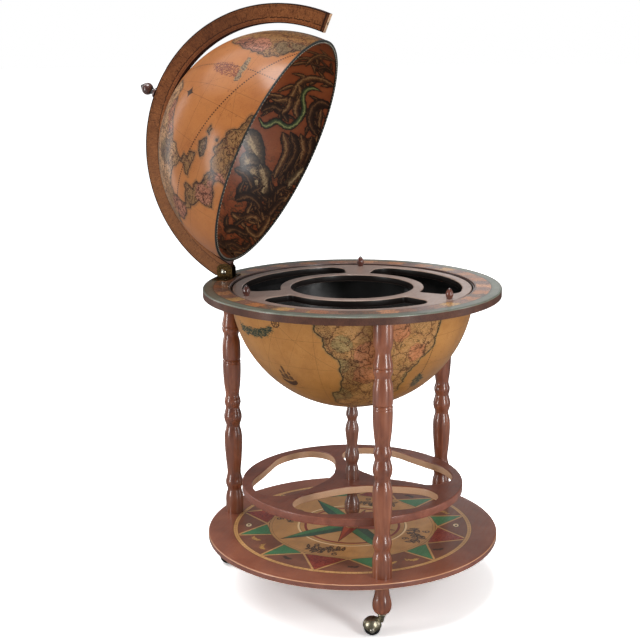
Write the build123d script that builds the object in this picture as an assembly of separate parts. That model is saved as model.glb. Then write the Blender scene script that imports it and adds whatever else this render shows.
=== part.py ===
from build123d import *
import math
import os

# Floor-standing globe bar. Origin: the axis of the centre column on the floor.
# +Z up, +Y towards the lid hinge and the rear leg. Millimetres.

# ---------------------------------------------------------------- dimensions
SPHERE_Z = 646.5          # centre of both hemispheres when the lid is shut
BOWL_R = 250.0            # lower hemisphere, outside
BOWL_WALL = 3.5
LINING_T = 1.0
LID_R = 246.0             # upper hemisphere, outside
LID_WALL = 4.2
LID_LINING_T = 0.8
RING_TOP = 648.0          # horizon ring
RING_T = 17.0
RING_R = 306.0
RING_BORE = 248.0
RABBET_R = 251.0          # shallow step round the ring's mouth
RABBET_Z = 645.4
BASE_TOP = 122.5          # lower shelf
BASE_T = 12.0
BASE_R = 307.0
RACK_TOP = 228.2          # bottle rack
RACK_T = 17.0
RACK_R = 233.6
LEG_CIRCLE = 272.0        # legs, feet and casters stand on this circle
LEG_AZ = {"rear": 90.0, "right": -30.0, "left": 210.0}
FOOT_BOTTOM = 46.5
HINGE_Y = 281.9           # lid hinge axis, along X
HINGE_Z = 660.9
LID_OPEN = 66.5           # degrees from shut to the modelled open position
ARC_RI = 260.0            # meridian arc
ARC_RO = 299.2
ARC_T = 16.0
ARC_END_R = 8.6           # rounded end about the hinge axis
INSERT_TOP = 645.4        # lift-out board, level with the step in the ring
INSERT_T = 14.2
INSERT_R = 245.2
INSERT_HOLE_R = 126.0
INSERT_TURN = 13.0        # azimuth of one web; the others follow at 120 degrees
KNOB_CIRCLE = 231.5
FLOOR_TOP = 545.0         # flat floor inside the bowl
ROD_R = 4.0               # centre tie rod, M8
STEM_R = 3.9              # caster stem
CASTER_TRAIL = 19.0
CASTER_DIR = 107.3        # direction in which the casters trail, degrees
WHEEL_R = 16.6

os.makedirs("parts", exist_ok=True)


def save(shape, name):
    shape.label = name
    export_step(shape, f"parts/{name}.step")


def group(shapes):
    return Compound(children=list(shapes))


def polar(r, az):
    return (r * math.cos(math.radians(az)), r * math.sin(math.radians(az)))


def cyl(r, z0, z1, x=0.0, y=0.0):
    return Pos(x, y, (z0 + z1) / 2) * Cylinder(r, z1 - z0)


def cyl_along(r, a, b):
    """Cylinder of radius r from point a to point b."""
    a, b = Vector(*a), Vector(*b)
    d = b - a
    return Plane(origin=a, z_dir=d) * (Pos(0, 0, d.length / 2) * Cylinder(r, d.length))


def turned(points):
    """Solid of revolution about Z from (radius, z) points, bottom to top, with straight runs."""
    pts = [(0, points[0][1])] + [tuple(p) for p in points] + [(0, points[-1][1])]
    clean = []
    for p in pts:
        if not clean or abs(p[0] - clean[-1][0]) + abs(p[1] - clean[-1][1]) > 1e-6:
            clean.append(p)
    wire = Wire(Polyline(*[(x, 0, z) for x, z in clean], close=True).edges())
    return revolve(Face(wire), Axis.Z, 360)


def turned_smooth(runs):
    """Solid of revolution about Z. Each run is a list of (radius, z) points: two points make a straight
    line, more make a smooth curve, and each run starts where the last one ended."""
    edges = []
    first, last = runs[0][0], runs[-1][-1]
    if first[0] > 1e-6:
        edges.append(Line((0, 0, first[1]), (first[0], 0, first[1])))
    for run in runs:
        pts = [(x, 0, z) for x, z in run]
        edges.append(Line(*pts) if len(pts) == 2 else Spline(*pts))
    if last[0] > 1e-6:
        edges.append(Line((last[0], 0, last[1]), (0, 0, last[1])))
    edges.append(Line((0, 0, last[1]), (0, 0, first[1])))
    wire = Wire([e.edge() if hasattr(e, "edge") else e for e in edges])
    return revolve(Face(wire), Axis.Z, 360)


def half_shell(r_out, r_in, z_cut, centre_z, upper):
    """Part of a spherical shell above or below the plane z_cut."""
    shell = Pos(0, 0, centre_z) * (Sphere(r_out) - Sphere(r_in))
    if upper:
        return shell & Pos(0, 0, z_cut + 400) * Box(1600, 1600, 800)
    return shell & Pos(0, 0, z_cut - 400) * Box(1600, 1600, 800)


def kidney(outline, az, z0, z1):
    """Prism through a smooth closed outline of (radius, angle from the middle) points."""
    pts = [(r * math.cos(math.radians(az + a)), r * math.sin(math.radians(az + a)), z0) for r, a in outline]
    wire = Wire([Spline(*pts, periodic=True).edge()])
    return extrude(Face(wire), amount=z1 - z0, dir=(0, 0, 1))


def opened(shape):
    """Turn a lid piece from the shut to the open position about the hinge axis."""
    return Pos(0, HINGE_Y, HINGE_Z) * Rot(-LID_OPEN, 0, 0) * Pos(0, -HINGE_Y, -HINGE_Z) * shape


def soften(shape, edges, size):
    """Round the given edges, or bevel them where a round can't be made."""
    for operation, amount in ((fillet, size), (fillet, size * 0.6), (chamfer, size * 0.6)):
        try:
            result = operation(edges, amount)
            if result.is_valid and result.volume > 0.5 * shape.volume:
                return result
        except Exception:
            continue
    return shape


def edges_at(shape, z, r_min=0.0, r_max=1e9):
    found = []
    for e in shape.edges():
        box = e.bounding_box()
        if abs(box.min.Z - z) < 1e-3 and abs(box.max.Z - z) < 1e-3:
            m = e @ 0.5
            r = math.hypot(m.X, m.Y)
            if r_min <= r <= r_max:
                found.append(e)
    return found


# ------------------------------------------------------------------- shelf
base = cyl(BASE_R, BASE_TOP - BASE_T, BASE_TOP)
base = soften(base, edges_at(base, BASE_TOP) + edges_at(base, BASE_TOP - BASE_T), 2.2)
for az in LEG_AZ.values():
    x, y = polar(LEG_CIRCLE, az)
    base -= cyl(4.2, BASE_TOP - BASE_T - 1, BASE_TOP + 1, x, y)
base -= cyl(ROD_R + 0.2, BASE_TOP - BASE_T - 1, BASE_TOP + 1)
base -= cyl(11.0, BASE_TOP - BASE_T - 1, BASE_TOP - BASE_T + 6.5)
save(base, "base_shelf")

# -------------------------------------------------------------------- rack
RACK_OPENING = [(197, 0), (199, 8), (204, 14), (209.5, 20), (213, 27), (214.5, 34), (213, 40), (208, 45),
                (198, 49.3), (185, 52.5), (168, 55), (150, 56), (130, 55.2), (111, 53), (94, 49.5),
                (78, 44.5), (65, 37), (55, 28), (49.5, 17), (47.5, 0)]
RACK_OPENING = RACK_OPENING + [(r, -a) for r, a in RACK_OPENING[-2:0:-1]]
rack = cyl(RACK_R, RACK_TOP - RACK_T, RACK_TOP)
for az in LEG_AZ.values():
    rack -= kidney(RACK_OPENING, az, RACK_TOP - RACK_T - 1, RACK_TOP + 1)
rack = soften(rack, edges_at(rack, RACK_TOP, RACK_R - 1) + edges_at(rack, RACK_TOP - RACK_T, RACK_R - 1), 2.5)
rack = soften(rack, edges_at(rack, RACK_TOP, 40, 225), 1.2)
rack -= cyl(ROD_R + 0.2, RACK_TOP - RACK_T - 1, RACK_TOP + 1)
save(rack, "bottle_rack")

# ----------------------------------------------------------- centre column
rack_bottom = RACK_TOP - RACK_T
lower_column = turned_smooth([
    [(15.2, BASE_TOP), (15.2, 131)],
    [(15.2, 131), (14.6, 134), (12.4, 138.5), (11.2, 143), (12.2, 148), (14.6, 153), (16.2, 159), (16.5, 164.6)],
    [(16.5, 164.6), (15.6, 166)],
    [(15.6, 166), (16.5, 167.4)],
    [(16.5, 167.4), (16.4, 172), (15.3, 177), (13.2, 182.5), (11.4, 188), (10.9, 193), (11.7, 198), (13.6, 202.5), (14.4, 206)],
    [(14.4, 206), (14.4, rack_bottom)],
])
lower_column -= cyl(ROD_R + 0.2, BASE_TOP - 1, rack_bottom + 1)
save(lower_column, "lower_column")

bowl_bottom = SPHERE_Z - BOWL_R
upper_column = turned_smooth([
    [(14.2, RACK_TOP), (14.2, 243)],
    [(14.2, 243), (13.6, 250), (12.4, 256), (11.5, 261.5), (12.4, 266), (14.2, 271), (15.4, 278), (15.0, 284.5),
     (13.4, 291), (11.6, 296.5), (11.1, 301), (11.5, 308), (12.3, 315), (13.1, 322), (13.9, 329), (14.6, 336.5),
     (14.2, 342.5), (12.6, 349), (10.6, 354.5), (9.9, 358.6), (10.7, 362.6), (12.2, 366.6), (13.0, 371), (12.6, 376),
     (11.4, 381.5), (9.9, 387), (8.9, 391)],
    [(8.9, 391), (8.9, bowl_bottom + 6)],
])
upper_column -= Pos(0, 0, SPHERE_Z) * Sphere(BOWL_R)
upper_column -= cyl(ROD_R + 0.2, RACK_TOP - 1, bowl_bottom + 20)
save(upper_column, "upper_column")

# Tie rod with a nut and washer at each end: it clamps shelf, columns, rack and bowl.
base_bottom = BASE_TOP - BASE_T
tie_rod = cyl(ROD_R, base_bottom - 6.0, bowl_bottom + 26)
save(tie_rod, "tie_rod")


def nut(z, across=13.0, thick=6.5):
    body = Pos(0, 0, z) * extrude(RegularPolygon(across / 2, 6, major_radius=False), amount=thick)
    return body - cyl(ROD_R, z - 1, z + thick + 1)


def washer(z, r, thick=1.6):
    return cyl(r, z, z + thick) - cyl(ROD_R, z - 1, z + thick + 1)


inner_bottom = bowl_bottom + BOWL_WALL + LINING_T + 0.3
save(group([nut(base_bottom + 6.5 - 1.6 - 6.5), washer(base_bottom + 6.5 - 1.6, 10.5),
            washer(inner_bottom, 10.0), nut(inner_bottom + 1.6)]), "tie_rod_nuts")

# -------------------------------------------------------------------- legs
LEG_TOP = RING_TOP - RING_T
LEG_RUNS = [
    [(19.3, BASE_TOP), (19.3, 152)],
    [(19.3, 152), (19.0, 159), (18.0, 165), (16.4, 170.5), (15.4, 175.5), (16.2, 180.5), (18.0, 185.5), (18.9, 190.5),
     (18.5, 196), (17.2, 202), (15.6, 208), (14.9, 214.5), (15.1, 221), (15.9, 230), (16.9, 239), (17.7, 249),
     (18.4, 259), (19.0, 269), (19.4, 279), (19.5, 288), (19.3, 297), (18.6, 304), (17.2, 311), (15.5, 317.5),
     (15.1, 321.5), (15.9, 326), (17.8, 331.5), (19.1, 337), (19.4, 342), (18.8, 347.5), (17.3, 353), (15.8, 358.5),
     (15.3, 362), (16.0, 366), (17.3, 371), (17.8, 375.5), (17.2, 380), (15.7, 385), (14.8, 390), (15.1, 395.5),
     (15.9, 401), (17.0, 409), (17.9, 418), (18.6, 428), (19.1, 438), (19.4, 450), (19.4, 460.5)],
    [(19.4, 460.5), (18.7, 462.3)],
    [(18.7, 462.3), (19.3, 463.6), (19.4, 465.2), (19.0, 467)],
    [(19.0, 467), (17.5, 469)],
    [(17.5, 469), (19.3, 471.2)],
    [(19.3, 471.2), (19.6, 478), (19.6, 490), (19.4, 500), (18.9, 507), (17.8, 513), (16.3, 518.5), (15.7, 522.5),
     (16.2, 526.5), (17.9, 530.5), (19.1, 534.5), (19.2, 538.5), (18.8, 540.5)],
    [(18.8, 540.5), (17.6, 542)],
    [(17.6, 542), (19.0, 543.6)],
    [(19.0, 543.6), (19.0, 546), (18.2, 551), (16.9, 557.5), (15.7, 564), (15.1, 570), (15.5, 575), (16.8, 580),
     (18.3, 585), (19.1, 590), (19.3, 596)],
    [(19.3, 596), (19.3, LEG_TOP)],
    [(19.3, LEG_TOP), (9.0, LEG_TOP)],
    [(9.0, LEG_TOP), (9.0, LEG_TOP + 11)],
]
leg = turned_smooth(LEG_RUNS) - cyl(4.0, BASE_TOP - 1, BASE_TOP + 46)
for name, az in LEG_AZ.items():
    x, y = polar(LEG_CIRCLE, az)
    save(Pos(x, y, 0) * leg, f"leg_{name}")

foot = turned_smooth([
    [(10.5, FOOT_BOTTOM), (13.0, 47.4), (15.6, 50.2), (17.8, 55), (18.9, 61), (18.9, 66), (18.2, 71.5), (16.7, 78), (15.0, 85),
     (14.1, 91), (13.9, 97), (14.6, 103), (15.8, 108)],
    [(15.8, 108), (15.8, base_bottom)],
])
foot -= cyl(4.0, 79, base_bottom + 1)
foot -= cyl(6.0, FOOT_BOTTOM - 1, 74)
for name, az in LEG_AZ.items():
    x, y = polar(LEG_CIRCLE, az)
    save(Pos(x, y, 0) * foot, f"foot_{name}")

# One double-ended stud through the shelf joins each leg to its foot.
save(group([Pos(*polar(LEG_CIRCLE, az), 0) * cyl(4.0, 80, BASE_TOP + 44) for az in LEG_AZ.values()]), "leg_studs")

# ----------------------------------------------------------------- casters
socket = (cyl(6.0, FOOT_BOTTOM, 73.5) + cyl(9.5, FOOT_BOTTOM - 1.3, FOOT_BOTTOM)) - cyl(STEM_R + 0.06, FOOT_BOTTOM - 2, 71)
save(group([Pos(*polar(LEG_CIRCLE, az), 0) * socket for az in LEG_AZ.values()]), "caster_sockets")

HOOD_Z, HOOD_RO, HOOD_RI = 20.0, 18.6, 17.4
T = CASTER_TRAIL
stem = cyl(STEM_R, 34, 69.5)
cup = turned([(3.2, 27), (4.6, 33.5), (6.4, 38.2), (8.2, 41.2), (8.8, 43.4), (8.4, 44.3), (7.4, 44.3), (6.0, 42.6)])
arm = Plane(origin=(0, 0, 34), z_dir=(1, 0, -0.12)) * (Pos(0, 0, 5.5) * Cylinder(4.6, 11))
hood = Pos(T, 0, HOOD_Z) * Sphere(HOOD_RO) + cup + arm
hood -= Pos(T, 0, HOOD_Z) * Sphere(HOOD_RI)
# The open underside rises to both sides of the two cheeks that carry the axle.
under = [(T - 40, -20), (T + 40, -20), (T + 40, 11.5 + 40 * 0.42), (T, 11.5), (T - 40, 11.5 + 40 * 0.42)]
under_face = Face(Wire(Polyline(*[(a, -40, b) for a, b in under], close=True).edges()))
hood -= extrude(under_face, amount=80, dir=(0, 1, 0))
for side in (-1, 1):
    hood += cyl_along(5.4, (T, side * 14.3, WHEEL_R), (T, side * 18.8, WHEEL_R))
hood -= cyl_along(2.5, (T, -30, WHEEL_R), (T, 30, WHEEL_R))
hood -= cyl(STEM_R, 34, 60)

BOSS_END = 18.8
rivet_end = [(4.9, BOSS_END), (4.6, BOSS_END + 0.8), (3.6, BOSS_END + 1.6), (2.0, BOSS_END + 2.1), (0.3, BOSS_END + 2.3)]
axle = turned([(r, -y) for r, y in reversed(rivet_end)] + [(2.5, -BOSS_END), (2.5, BOSS_END)] + rivet_end)
axle = Pos(T, 0, WHEEL_R) * Rot(-90, 0, 0) * axle

wheel = Pos(T, 0, WHEEL_R) * Sphere(WHEEL_R) & Pos(T, 0, WHEEL_R) * Box(60, 26, 60)
wheel -= cyl_along(2.56, (T, -30, WHEEL_R), (T, 30, WHEEL_R))
for side in (-1, 1):
    wheel -= cyl_along(7.0, (T, side * 11.8, WHEEL_R), (T, side * 14, WHEEL_R))

for name, az in LEG_AZ.items():
    x, y = polar(LEG_CIRCLE, az)
    place = Pos(x, y, 0) * Rot(0, 0, CASTER_DIR)
    save(place * stem, f"caster_stem_{name}")
    save(place * hood, f"caster_hood_{name}")
    save(place * axle, f"caster_axle_{name}")
    save(place * wheel, f"caster_wheel_{name}")

# ------------------------------------------------------------ horizon ring
ring = cyl(RING_R, RING_TOP - RING_T, RING_TOP) - cyl(RING_BORE, RING_TOP - RING_T - 1, RING_TOP + 1)
ring -= cyl(RABBET_R, RABBET_Z, RING_TOP + 1)
ring = soften(ring, [e for e in edges_at(ring, RING_TOP) if e.length > 2 * math.pi * 300], 2.6)
ring = soften(ring, [e for e in edges_at(ring, RING_TOP) if e.length < 2 * math.pi * 260], 0.8)
for az in LEG_AZ.values():
    x, y = polar(LEG_CIRCLE, az)
    ring -= cyl(9.05, RING_TOP - RING_T - 1, LEG_TOP + 11.2, x, y)
SCREW_POS = [(sx, sy) for sx in (-27.0, 27.0) for sy in (270.5, 288.5)]
for sx, sy in SCREW_POS:
    ring -= cyl(2.0, RING_TOP - 15, RING_TOP + 1, sx, sy)
save(ring, "horizon_ring")

# -------------------------------------------------------------------- bowl
bowl = half_shell(BOWL_R, BOWL_R - BOWL_WALL, RING_TOP - RING_T, SPHERE_Z, False)
bowl -= cyl(ROD_R + 0.2, bowl_bottom - 5, bowl_bottom + 20)
save(bowl, "globe_bowl")
lining_r = BOWL_R - BOWL_WALL - LINING_T
lining = half_shell(BOWL_R - BOWL_WALL, lining_r, RING_TOP - RING_T, SPHERE_Z, False)
lining -= cyl(ROD_R + 0.2, bowl_bottom - 5, bowl_bottom + 20)
save(lining, "bowl_lining")

# Flat floor that wedges in the lined bowl; its edge follows the sphere.
floor_disc = cyl(300, FLOOR_TOP - 5, FLOOR_TOP) & Pos(0, 0, SPHERE_Z) * Sphere(lining_r)
save(floor_disc, "bowl_floor")

# Ledge glued inside the bowl's mouth, on which the lift-out board rests.
ledge = cyl(300, RING_TOP - RING_T - 12, RING_TOP - RING_T) & Pos(0, 0, SPHERE_Z) * Sphere(lining_r)
ledge -= cyl(233.5, RING_TOP - RING_T - 13, RING_TOP - RING_T + 1)
save(ledge, "board_ledge")

# ----------------------------------------------------------- lift-out board
insert = cyl(INSERT_R, INSERT_TOP - INSERT_T, INSERT_TOP)
insert -= cyl(INSERT_HOLE_R, INSERT_TOP - INSERT_T - 1, INSERT_TOP + 1)
SLOT_RI, SLOT_RO, SLOT_HALF = 147.0, 225.5, 50.5


def slot_face(z):
    a = math.radians(SLOT_HALF)
    p = [(SLOT_RI * math.cos(-a), SLOT_RI * math.sin(-a), z), (SLOT_RO * math.cos(-a), SLOT_RO * math.sin(-a), z),
         (SLOT_RO, 0, z), (SLOT_RO * math.cos(a), SLOT_RO * math.sin(a), z),
         (SLOT_RI * math.cos(a), SLOT_RI * math.sin(a), z), (SLOT_RI, 0, z)]
    wire = Wire([Line(p[0], p[1]).edge(), ThreePointArc(p[1], p[2], p[3]).edge(), Line(p[3], p[4]).edge(),
                 ThreePointArc(p[4], p[5], p[0]).edge()])
    face = Face(wire)
    outer = [v for v in face.vertices() if math.hypot(v.X, v.Y) > 200]
    face = face.fillet_2d(33.0, outer)
    inner = [v for v in face.vertices() if math.hypot(v.X, v.Y) < SLOT_RI + 0.5]
    return face.fillet_2d(12.0, inner)


slot = extrude(slot_face(INSERT_TOP - INSERT_T - 1), amount=INSERT_T + 2, dir=(0, 0, 1))
for i in range(3):
    insert -= Rot(0, 0, INSERT_TURN + 60 + 120 * i) * slot
insert = soften(insert, edges_at(insert, INSERT_TOP), 1.8)
for i in range(3):
    x, y = polar(KNOB_CIRCLE, INSERT_TURN + 120 * i)
    insert -= cyl(2.0, INSERT_TOP - INSERT_T - 1, INSERT_TOP + 1, x, y)
save(insert, "insert_board")

z = INSERT_TOP
knob = turned_smooth([
    [(5.6, z), (5.6, z + 1.2)],
    [(5.6, z + 1.2), (5.9, z + 2.6), (6.9, z + 5), (7.6, z + 8), (7.5, z + 10.5), (6.4, z + 14), (4.6, z + 17.4), (2.6, z + 20.2), (1.2, z + 21.6)],
    [(1.2, z + 21.6), (0.0, z + 22.0)],
])
knob -= cyl(2.0, z - 1, z + 10.5)
for i, name in enumerate(("right", "left", "front")):
    x, y = polar(KNOB_CIRCLE, INSERT_TURN + 120 * i)
    save(Pos(x, y, 0) * knob, f"insert_knob_{name}")
save(group([Pos(*polar(KNOB_CIRCLE, INSERT_TURN + 120 * i), 0) * cyl(2.0, z - INSERT_T + 0.5, z + 10.2) for i in range(3)]),
     "knob_screws")

# ------------------------------------------------------------------- hinge
PLATE_T, CHEEK_IN, CHEEK_T = 1.8, 8.5, 2.5
bracket = Pos(0, 279.5, RING_TOP + PLATE_T / 2) * Box(80, 36, PLATE_T)
bracket = soften(bracket, [e for e in bracket.edges() if abs((e @ 0).Z - (e @ 1).Z) > 1], 6)
cheek_pts = [(262.5, RING_TOP + 0.5), (296.5, RING_TOP + 0.5), (296.5, 669.0), (293.9, 673.8), (289.0, 677.0), (283.0, 678.4),
             (276.0, 678.4), (270.0, 677.0), (265.1, 673.8), (262.5, 669.0)]
cheek_face = Face(Wire(Polyline(*[(0, a, b) for a, b in cheek_pts], close=True).edges()))
for side in (-1, 1):
    lo = side * CHEEK_IN if side > 0 else -(CHEEK_IN + CHEEK_T)
    bracket += Pos(lo, 0, 0) * extrude(cheek_face, amount=CHEEK_T, dir=(1, 0, 0))
bracket -= cyl_along(3.0, (-30, HINGE_Y, HINGE_Z), (30, HINGE_Y, HINGE_Z))
for sx, sy in SCREW_POS:
    bracket -= cyl(2.0, RING_TOP - 1, RING_TOP + PLATE_T + 1, sx, sy)
save(bracket, "hinge_bracket")

half = CHEEK_IN + CHEEK_T
dome = [(5.9, half), (5.6, half + 1.0), (4.6, half + 2.0), (2.8, half + 2.8), (0.4, half + 3.1)]
pin = turned([(r, -y) for r, y in reversed(dome)] + [(3.0, -half), (3.0, half)] + dome)
pin = Pos(0, HINGE_Y, HINGE_Z) * Rot(0, 90, 0) * pin
save(pin, "hinge_pin")

screws = []
for sx, sy in SCREW_POS:
    head = Pos(sx, sy, RING_TOP + PLATE_T - 3.0) * Sphere(5.2) & Pos(sx, sy, RING_TOP + PLATE_T + 3) * Box(20, 20, 6)
    screws.append(head + cyl(2.0, RING_TOP - 14, RING_TOP + PLATE_T, sx, sy))
save(group(screws), "hinge_screws")

# ------------------------------------------------ meridian arc (shut position)
t = math.radians(LID_OPEN)
P = (HINGE_Y, HINGE_Z)
front = math.radians(1.0)
a_in0 = (-ARC_RI * math.cos(front), SPHERE_Z + ARC_RI * math.sin(front))
a_out0 = (-ARC_RO * math.cos(front), SPHERE_Z + ARC_RO * math.sin(front))
low = HINGE_Z - ARC_END_R
a_in1 = (math.sqrt(ARC_RI**2 - (low - SPHERE_Z) ** 2), low)
b = (P[0], low)
mid_t = t / 2
mid = (P[0] + ARC_END_R * math.sin(mid_t), P[1] - ARC_END_R * math.cos(mid_t))
c = (P[0] + ARC_END_R * math.sin(t), P[1] - ARC_END_R * math.cos(t))
dy, dz = math.cos(t), math.sin(t)
qy, qz = c[0], c[1] - SPHERE_Z
half_b = qy * dy + qz * dz
s = -half_b + math.sqrt(half_b**2 - (qy**2 + qz**2 - ARC_RO**2))
d = (c[0] + s * dy, c[1] + s * dz)
mid_out = (0.0, SPHERE_Z + ARC_RO)
mid_in = (0.0, SPHERE_Z + ARC_RI)


def yz(p):
    return (-ARC_T / 2, p[0], p[1])


arc_wire = Wire([
    Line(yz(a_in1), yz(b)).edge(),
    ThreePointArc(yz(b), yz(mid), yz(c)).edge(),
    Line(yz(c), yz(d)).edge(),
    ThreePointArc(yz(d), yz(mid_out), yz(a_out0)).edge(),
    Line(yz(a_out0), yz(a_in0)).edge(),
    ThreePointArc(yz(a_in0), yz(mid_in), yz(a_in1)).edge(),
])
arc = extrude(Face(arc_wire), amount=ARC_T, dir=(1, 0, 0))
long_edges = [e for e in arc.edges() if e.length > 500]
arc = soften(arc, long_edges, 1.2)
arc -= cyl_along(5.0, (-20, *P), (20, *P))                              # hinge bush
arc -= cyl(3.0, SPHERE_Z + ARC_RI - 5, SPHERE_Z + ARC_RO + 5)           # pole bolt
peg_r = (ARC_RI + ARC_RO) / 2                                             # peg hole in the free end
arc -= cyl(3.2, SPHERE_Z - 5, SPHERE_Z + 17, 0, -peg_r * math.cos(front))
TONGUE_A0, TONGUE_A1 = 1.6, 9.5
tongue_screw_as = (3.4, 7.6)
for deg in tongue_screw_as:
    a = math.radians(deg)
    arc -= cyl_along(1.85, (0, (ARC_RI - 4) * math.cos(a), SPHERE_Z + (ARC_RI - 4) * math.sin(a)),
                     (0, (ARC_RI + 11) * math.cos(a), SPHERE_Z + (ARC_RI + 11) * math.sin(a)))
save(opened(arc), "meridian_arc")

bush = cyl_along(5.0, (-ARC_T / 2, *P), (ARC_T / 2, *P)) - cyl_along(3.05, (-20, *P), (20, *P))
save(opened(bush), "hinge_bush")

# ---------------------------------------------------------- upper hemisphere
lid_in = LID_R - LID_WALL
lid_cut = SPHERE_Z + 1.2
lid = half_shell(LID_R, lid_in, lid_cut, SPHERE_Z, True)
lid -= cyl(3.0, SPHERE_Z + lid_in - 5, SPHERE_Z + LID_R + 5)
for deg in tongue_screw_as:
    a = math.radians(deg)
    lid -= cyl_along(1.85, (0, (lid_in - 5) * math.cos(a), SPHERE_Z + (lid_in - 5) * math.sin(a)),
                     (0, (LID_R + 5) * math.cos(a), SPHERE_Z + (LID_R + 5) * math.sin(a)))
save(opened(lid), "upper_hemisphere")
lid_lining_r = lid_in - LID_LINING_T
lid_lining = half_shell(lid_in, lid_lining_r, lid_cut, SPHERE_Z, True)
lid_lining -= cyl(3.0, SPHERE_Z + lid_lining_r - 5, SPHERE_Z + lid_in + 5)
for deg in tongue_screw_as:
    a = math.radians(deg)
    lid_lining -= cyl_along(1.85, (0, (lid_in - 8) * math.cos(a), SPHERE_Z + (lid_in - 8) * math.sin(a)),
                            (0, (LID_R + 5) * math.cos(a), SPHERE_Z + (LID_R + 5) * math.sin(a)))
save(opened(lid_lining), "lid_lining")

# Edge trim: a shallow channel over the lid's rim.
trim_pts = [(lid_lining_r - 0.9, SPHERE_Z), (LID_R + 0.8, SPHERE_Z), (LID_R + 0.8, SPHERE_Z + 5.0), (LID_R + 0.02, SPHERE_Z + 5.0),
            (LID_R + 0.02, lid_cut), (lid_lining_r - 0.06, lid_cut), (lid_lining_r - 0.06, SPHERE_Z + 5.0),
            (lid_lining_r - 0.9, SPHERE_Z + 5.0)]
trim_wire = Wire(Polyline(*[(x, 0, zz) for x, zz in trim_pts], close=True).edges())
trim = revolve(Face(trim_wire), Axis.Z, 360)
save(opened(trim), "lid_rim_trim")

# Tongue that ties the hemisphere's rim to the arc beside the hinge.
TONGUE_W = 15.0


def sector(ri, ro, d0, d1, w):
    pts = []
    a0, a1 = math.radians(d0), math.radians(d1)
    am = (a0 + a1) / 2

    def at(r, a):
        return (-w / 2, r * math.cos(a), SPHERE_Z + r * math.sin(a))

    wire = Wire([Line(at(ri, a0), at(ro, a0)).edge(), ThreePointArc(at(ro, a0), at(ro, am), at(ro, a1)).edge(),
                 Line(at(ro, a1), at(ri, a1)).edge(), ThreePointArc(at(ri, a1), at(ri, am), at(ri, a0)).edge()])
    return extrude(Face(wire), amount=w, dir=(1, 0, 0))


tongue = sector(LID_R + 0.9, ARC_RI, TONGUE_A0, TONGUE_A1, TONGUE_W)
for deg in tongue_screw_as:
    a = math.radians(deg)
    tongue -= cyl_along(1.85, (0, (LID_R - 5) * math.cos(a), SPHERE_Z + (LID_R - 5) * math.sin(a)),
                        (0, (ARC_RI + 5) * math.cos(a), SPHERE_Z + (ARC_RI + 5) * math.sin(a)))
save(opened(tongue), "hinge_tongue")
tongue_screws = []
for deg in tongue_screw_as:
    a = math.radians(deg)
    ca, sa = math.cos(a), math.sin(a)
    shank = cyl_along(1.8, (0, lid_lining_r * ca, SPHERE_Z + lid_lining_r * sa),
                      (0, (ARC_RI + 10) * ca, SPHERE_Z + (ARC_RI + 10) * sa))
    head = cyl_along(3.4, (0, (lid_lining_r - 1.3) * ca, SPHERE_Z + (lid_lining_r - 1.3) * sa),
                     (0, (lid_lining_r - 0.25) * ca, SPHERE_Z + (lid_lining_r - 0.25) * sa))
    neck = cyl_along(1.8, (0, (lid_lining_r - 0.5) * ca, SPHERE_Z + (lid_lining_r - 0.5) * sa),
                     (0, (lid_lining_r + 1) * ca, SPHERE_Z + (lid_lining_r + 1) * sa))
    tongue_screws.append(shank + head + neck)
save(opened(group(tongue_screws)), "tongue_screws")

# Pole: spacer, bolt and finial on the axis of the shut lid.
spacer = cyl(9.0, SPHERE_Z + LID_R - 2, SPHERE_Z + ARC_RI + 2) - Pos(0, 0, SPHERE_Z) * Sphere(LID_R)
inner_arc_solid = Plane.YZ.offset(-30) * Circle(ARC_RI)
inner_cyl = Pos(0, 0, SPHERE_Z) * (Rot(0, 90, 0) * Cylinder(ARC_RI, 60))
spacer = spacer & inner_cyl
spacer -= cyl(3.0, SPHERE_Z + LID_R - 6, SPHERE_Z + ARC_RI + 6)
save(opened(spacer), "pole_spacer")
z0 = SPHERE_Z + ARC_RO
pole_bolt = cyl(3.0, SPHERE_Z + lid_lining_r - 0.4, z0 + 14)
pole_bolt += cyl(8.0, SPHERE_Z + lid_lining_r - 2.4, SPHERE_Z + lid_lining_r - 0.4)
save(opened(pole_bolt), "pole_bolt")
finial = turned_smooth([
    [(11.0, z0 - 0.4), (11.2, z0 + 1.6)],
    [(11.2, z0 + 1.6), (10.6, z0 + 3.0), (8.2, z0 + 3.8)],
    [(8.2, z0 + 3.8), (6.6, z0 + 5.2), (6.0, z0 + 7.6), (7.2, z0 + 10.4), (10.0, z0 + 13.6), (12.2, z0 + 17.6), (12.7, z0 + 21.6),
     (11.6, z0 + 25.8), (9.2, z0 + 29.6), (6.0, z0 + 32.8), (3.6, z0 + 35.0)],
    [(3.6, z0 + 35.0), (2.2, z0 + 37.2), (0.0, z0 + 38.2)],
])
outer_cyl = Pos(0, 0, SPHERE_Z) * (Rot(0, 90, 0) * Cylinder(ARC_RO, 60))
finial -= outer_cyl
finial -= cyl(3.0, z0 - 2, z0 + 14.2)
save(opened(finial), "pole_finial")

print("hinge", HINGE_Y, HINGE_Z, "open", LID_OPEN)
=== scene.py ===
import math

import bpy
import numpy as np
from mathutils import Matrix, Vector
from mathutils.kdtree import KDTree


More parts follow.
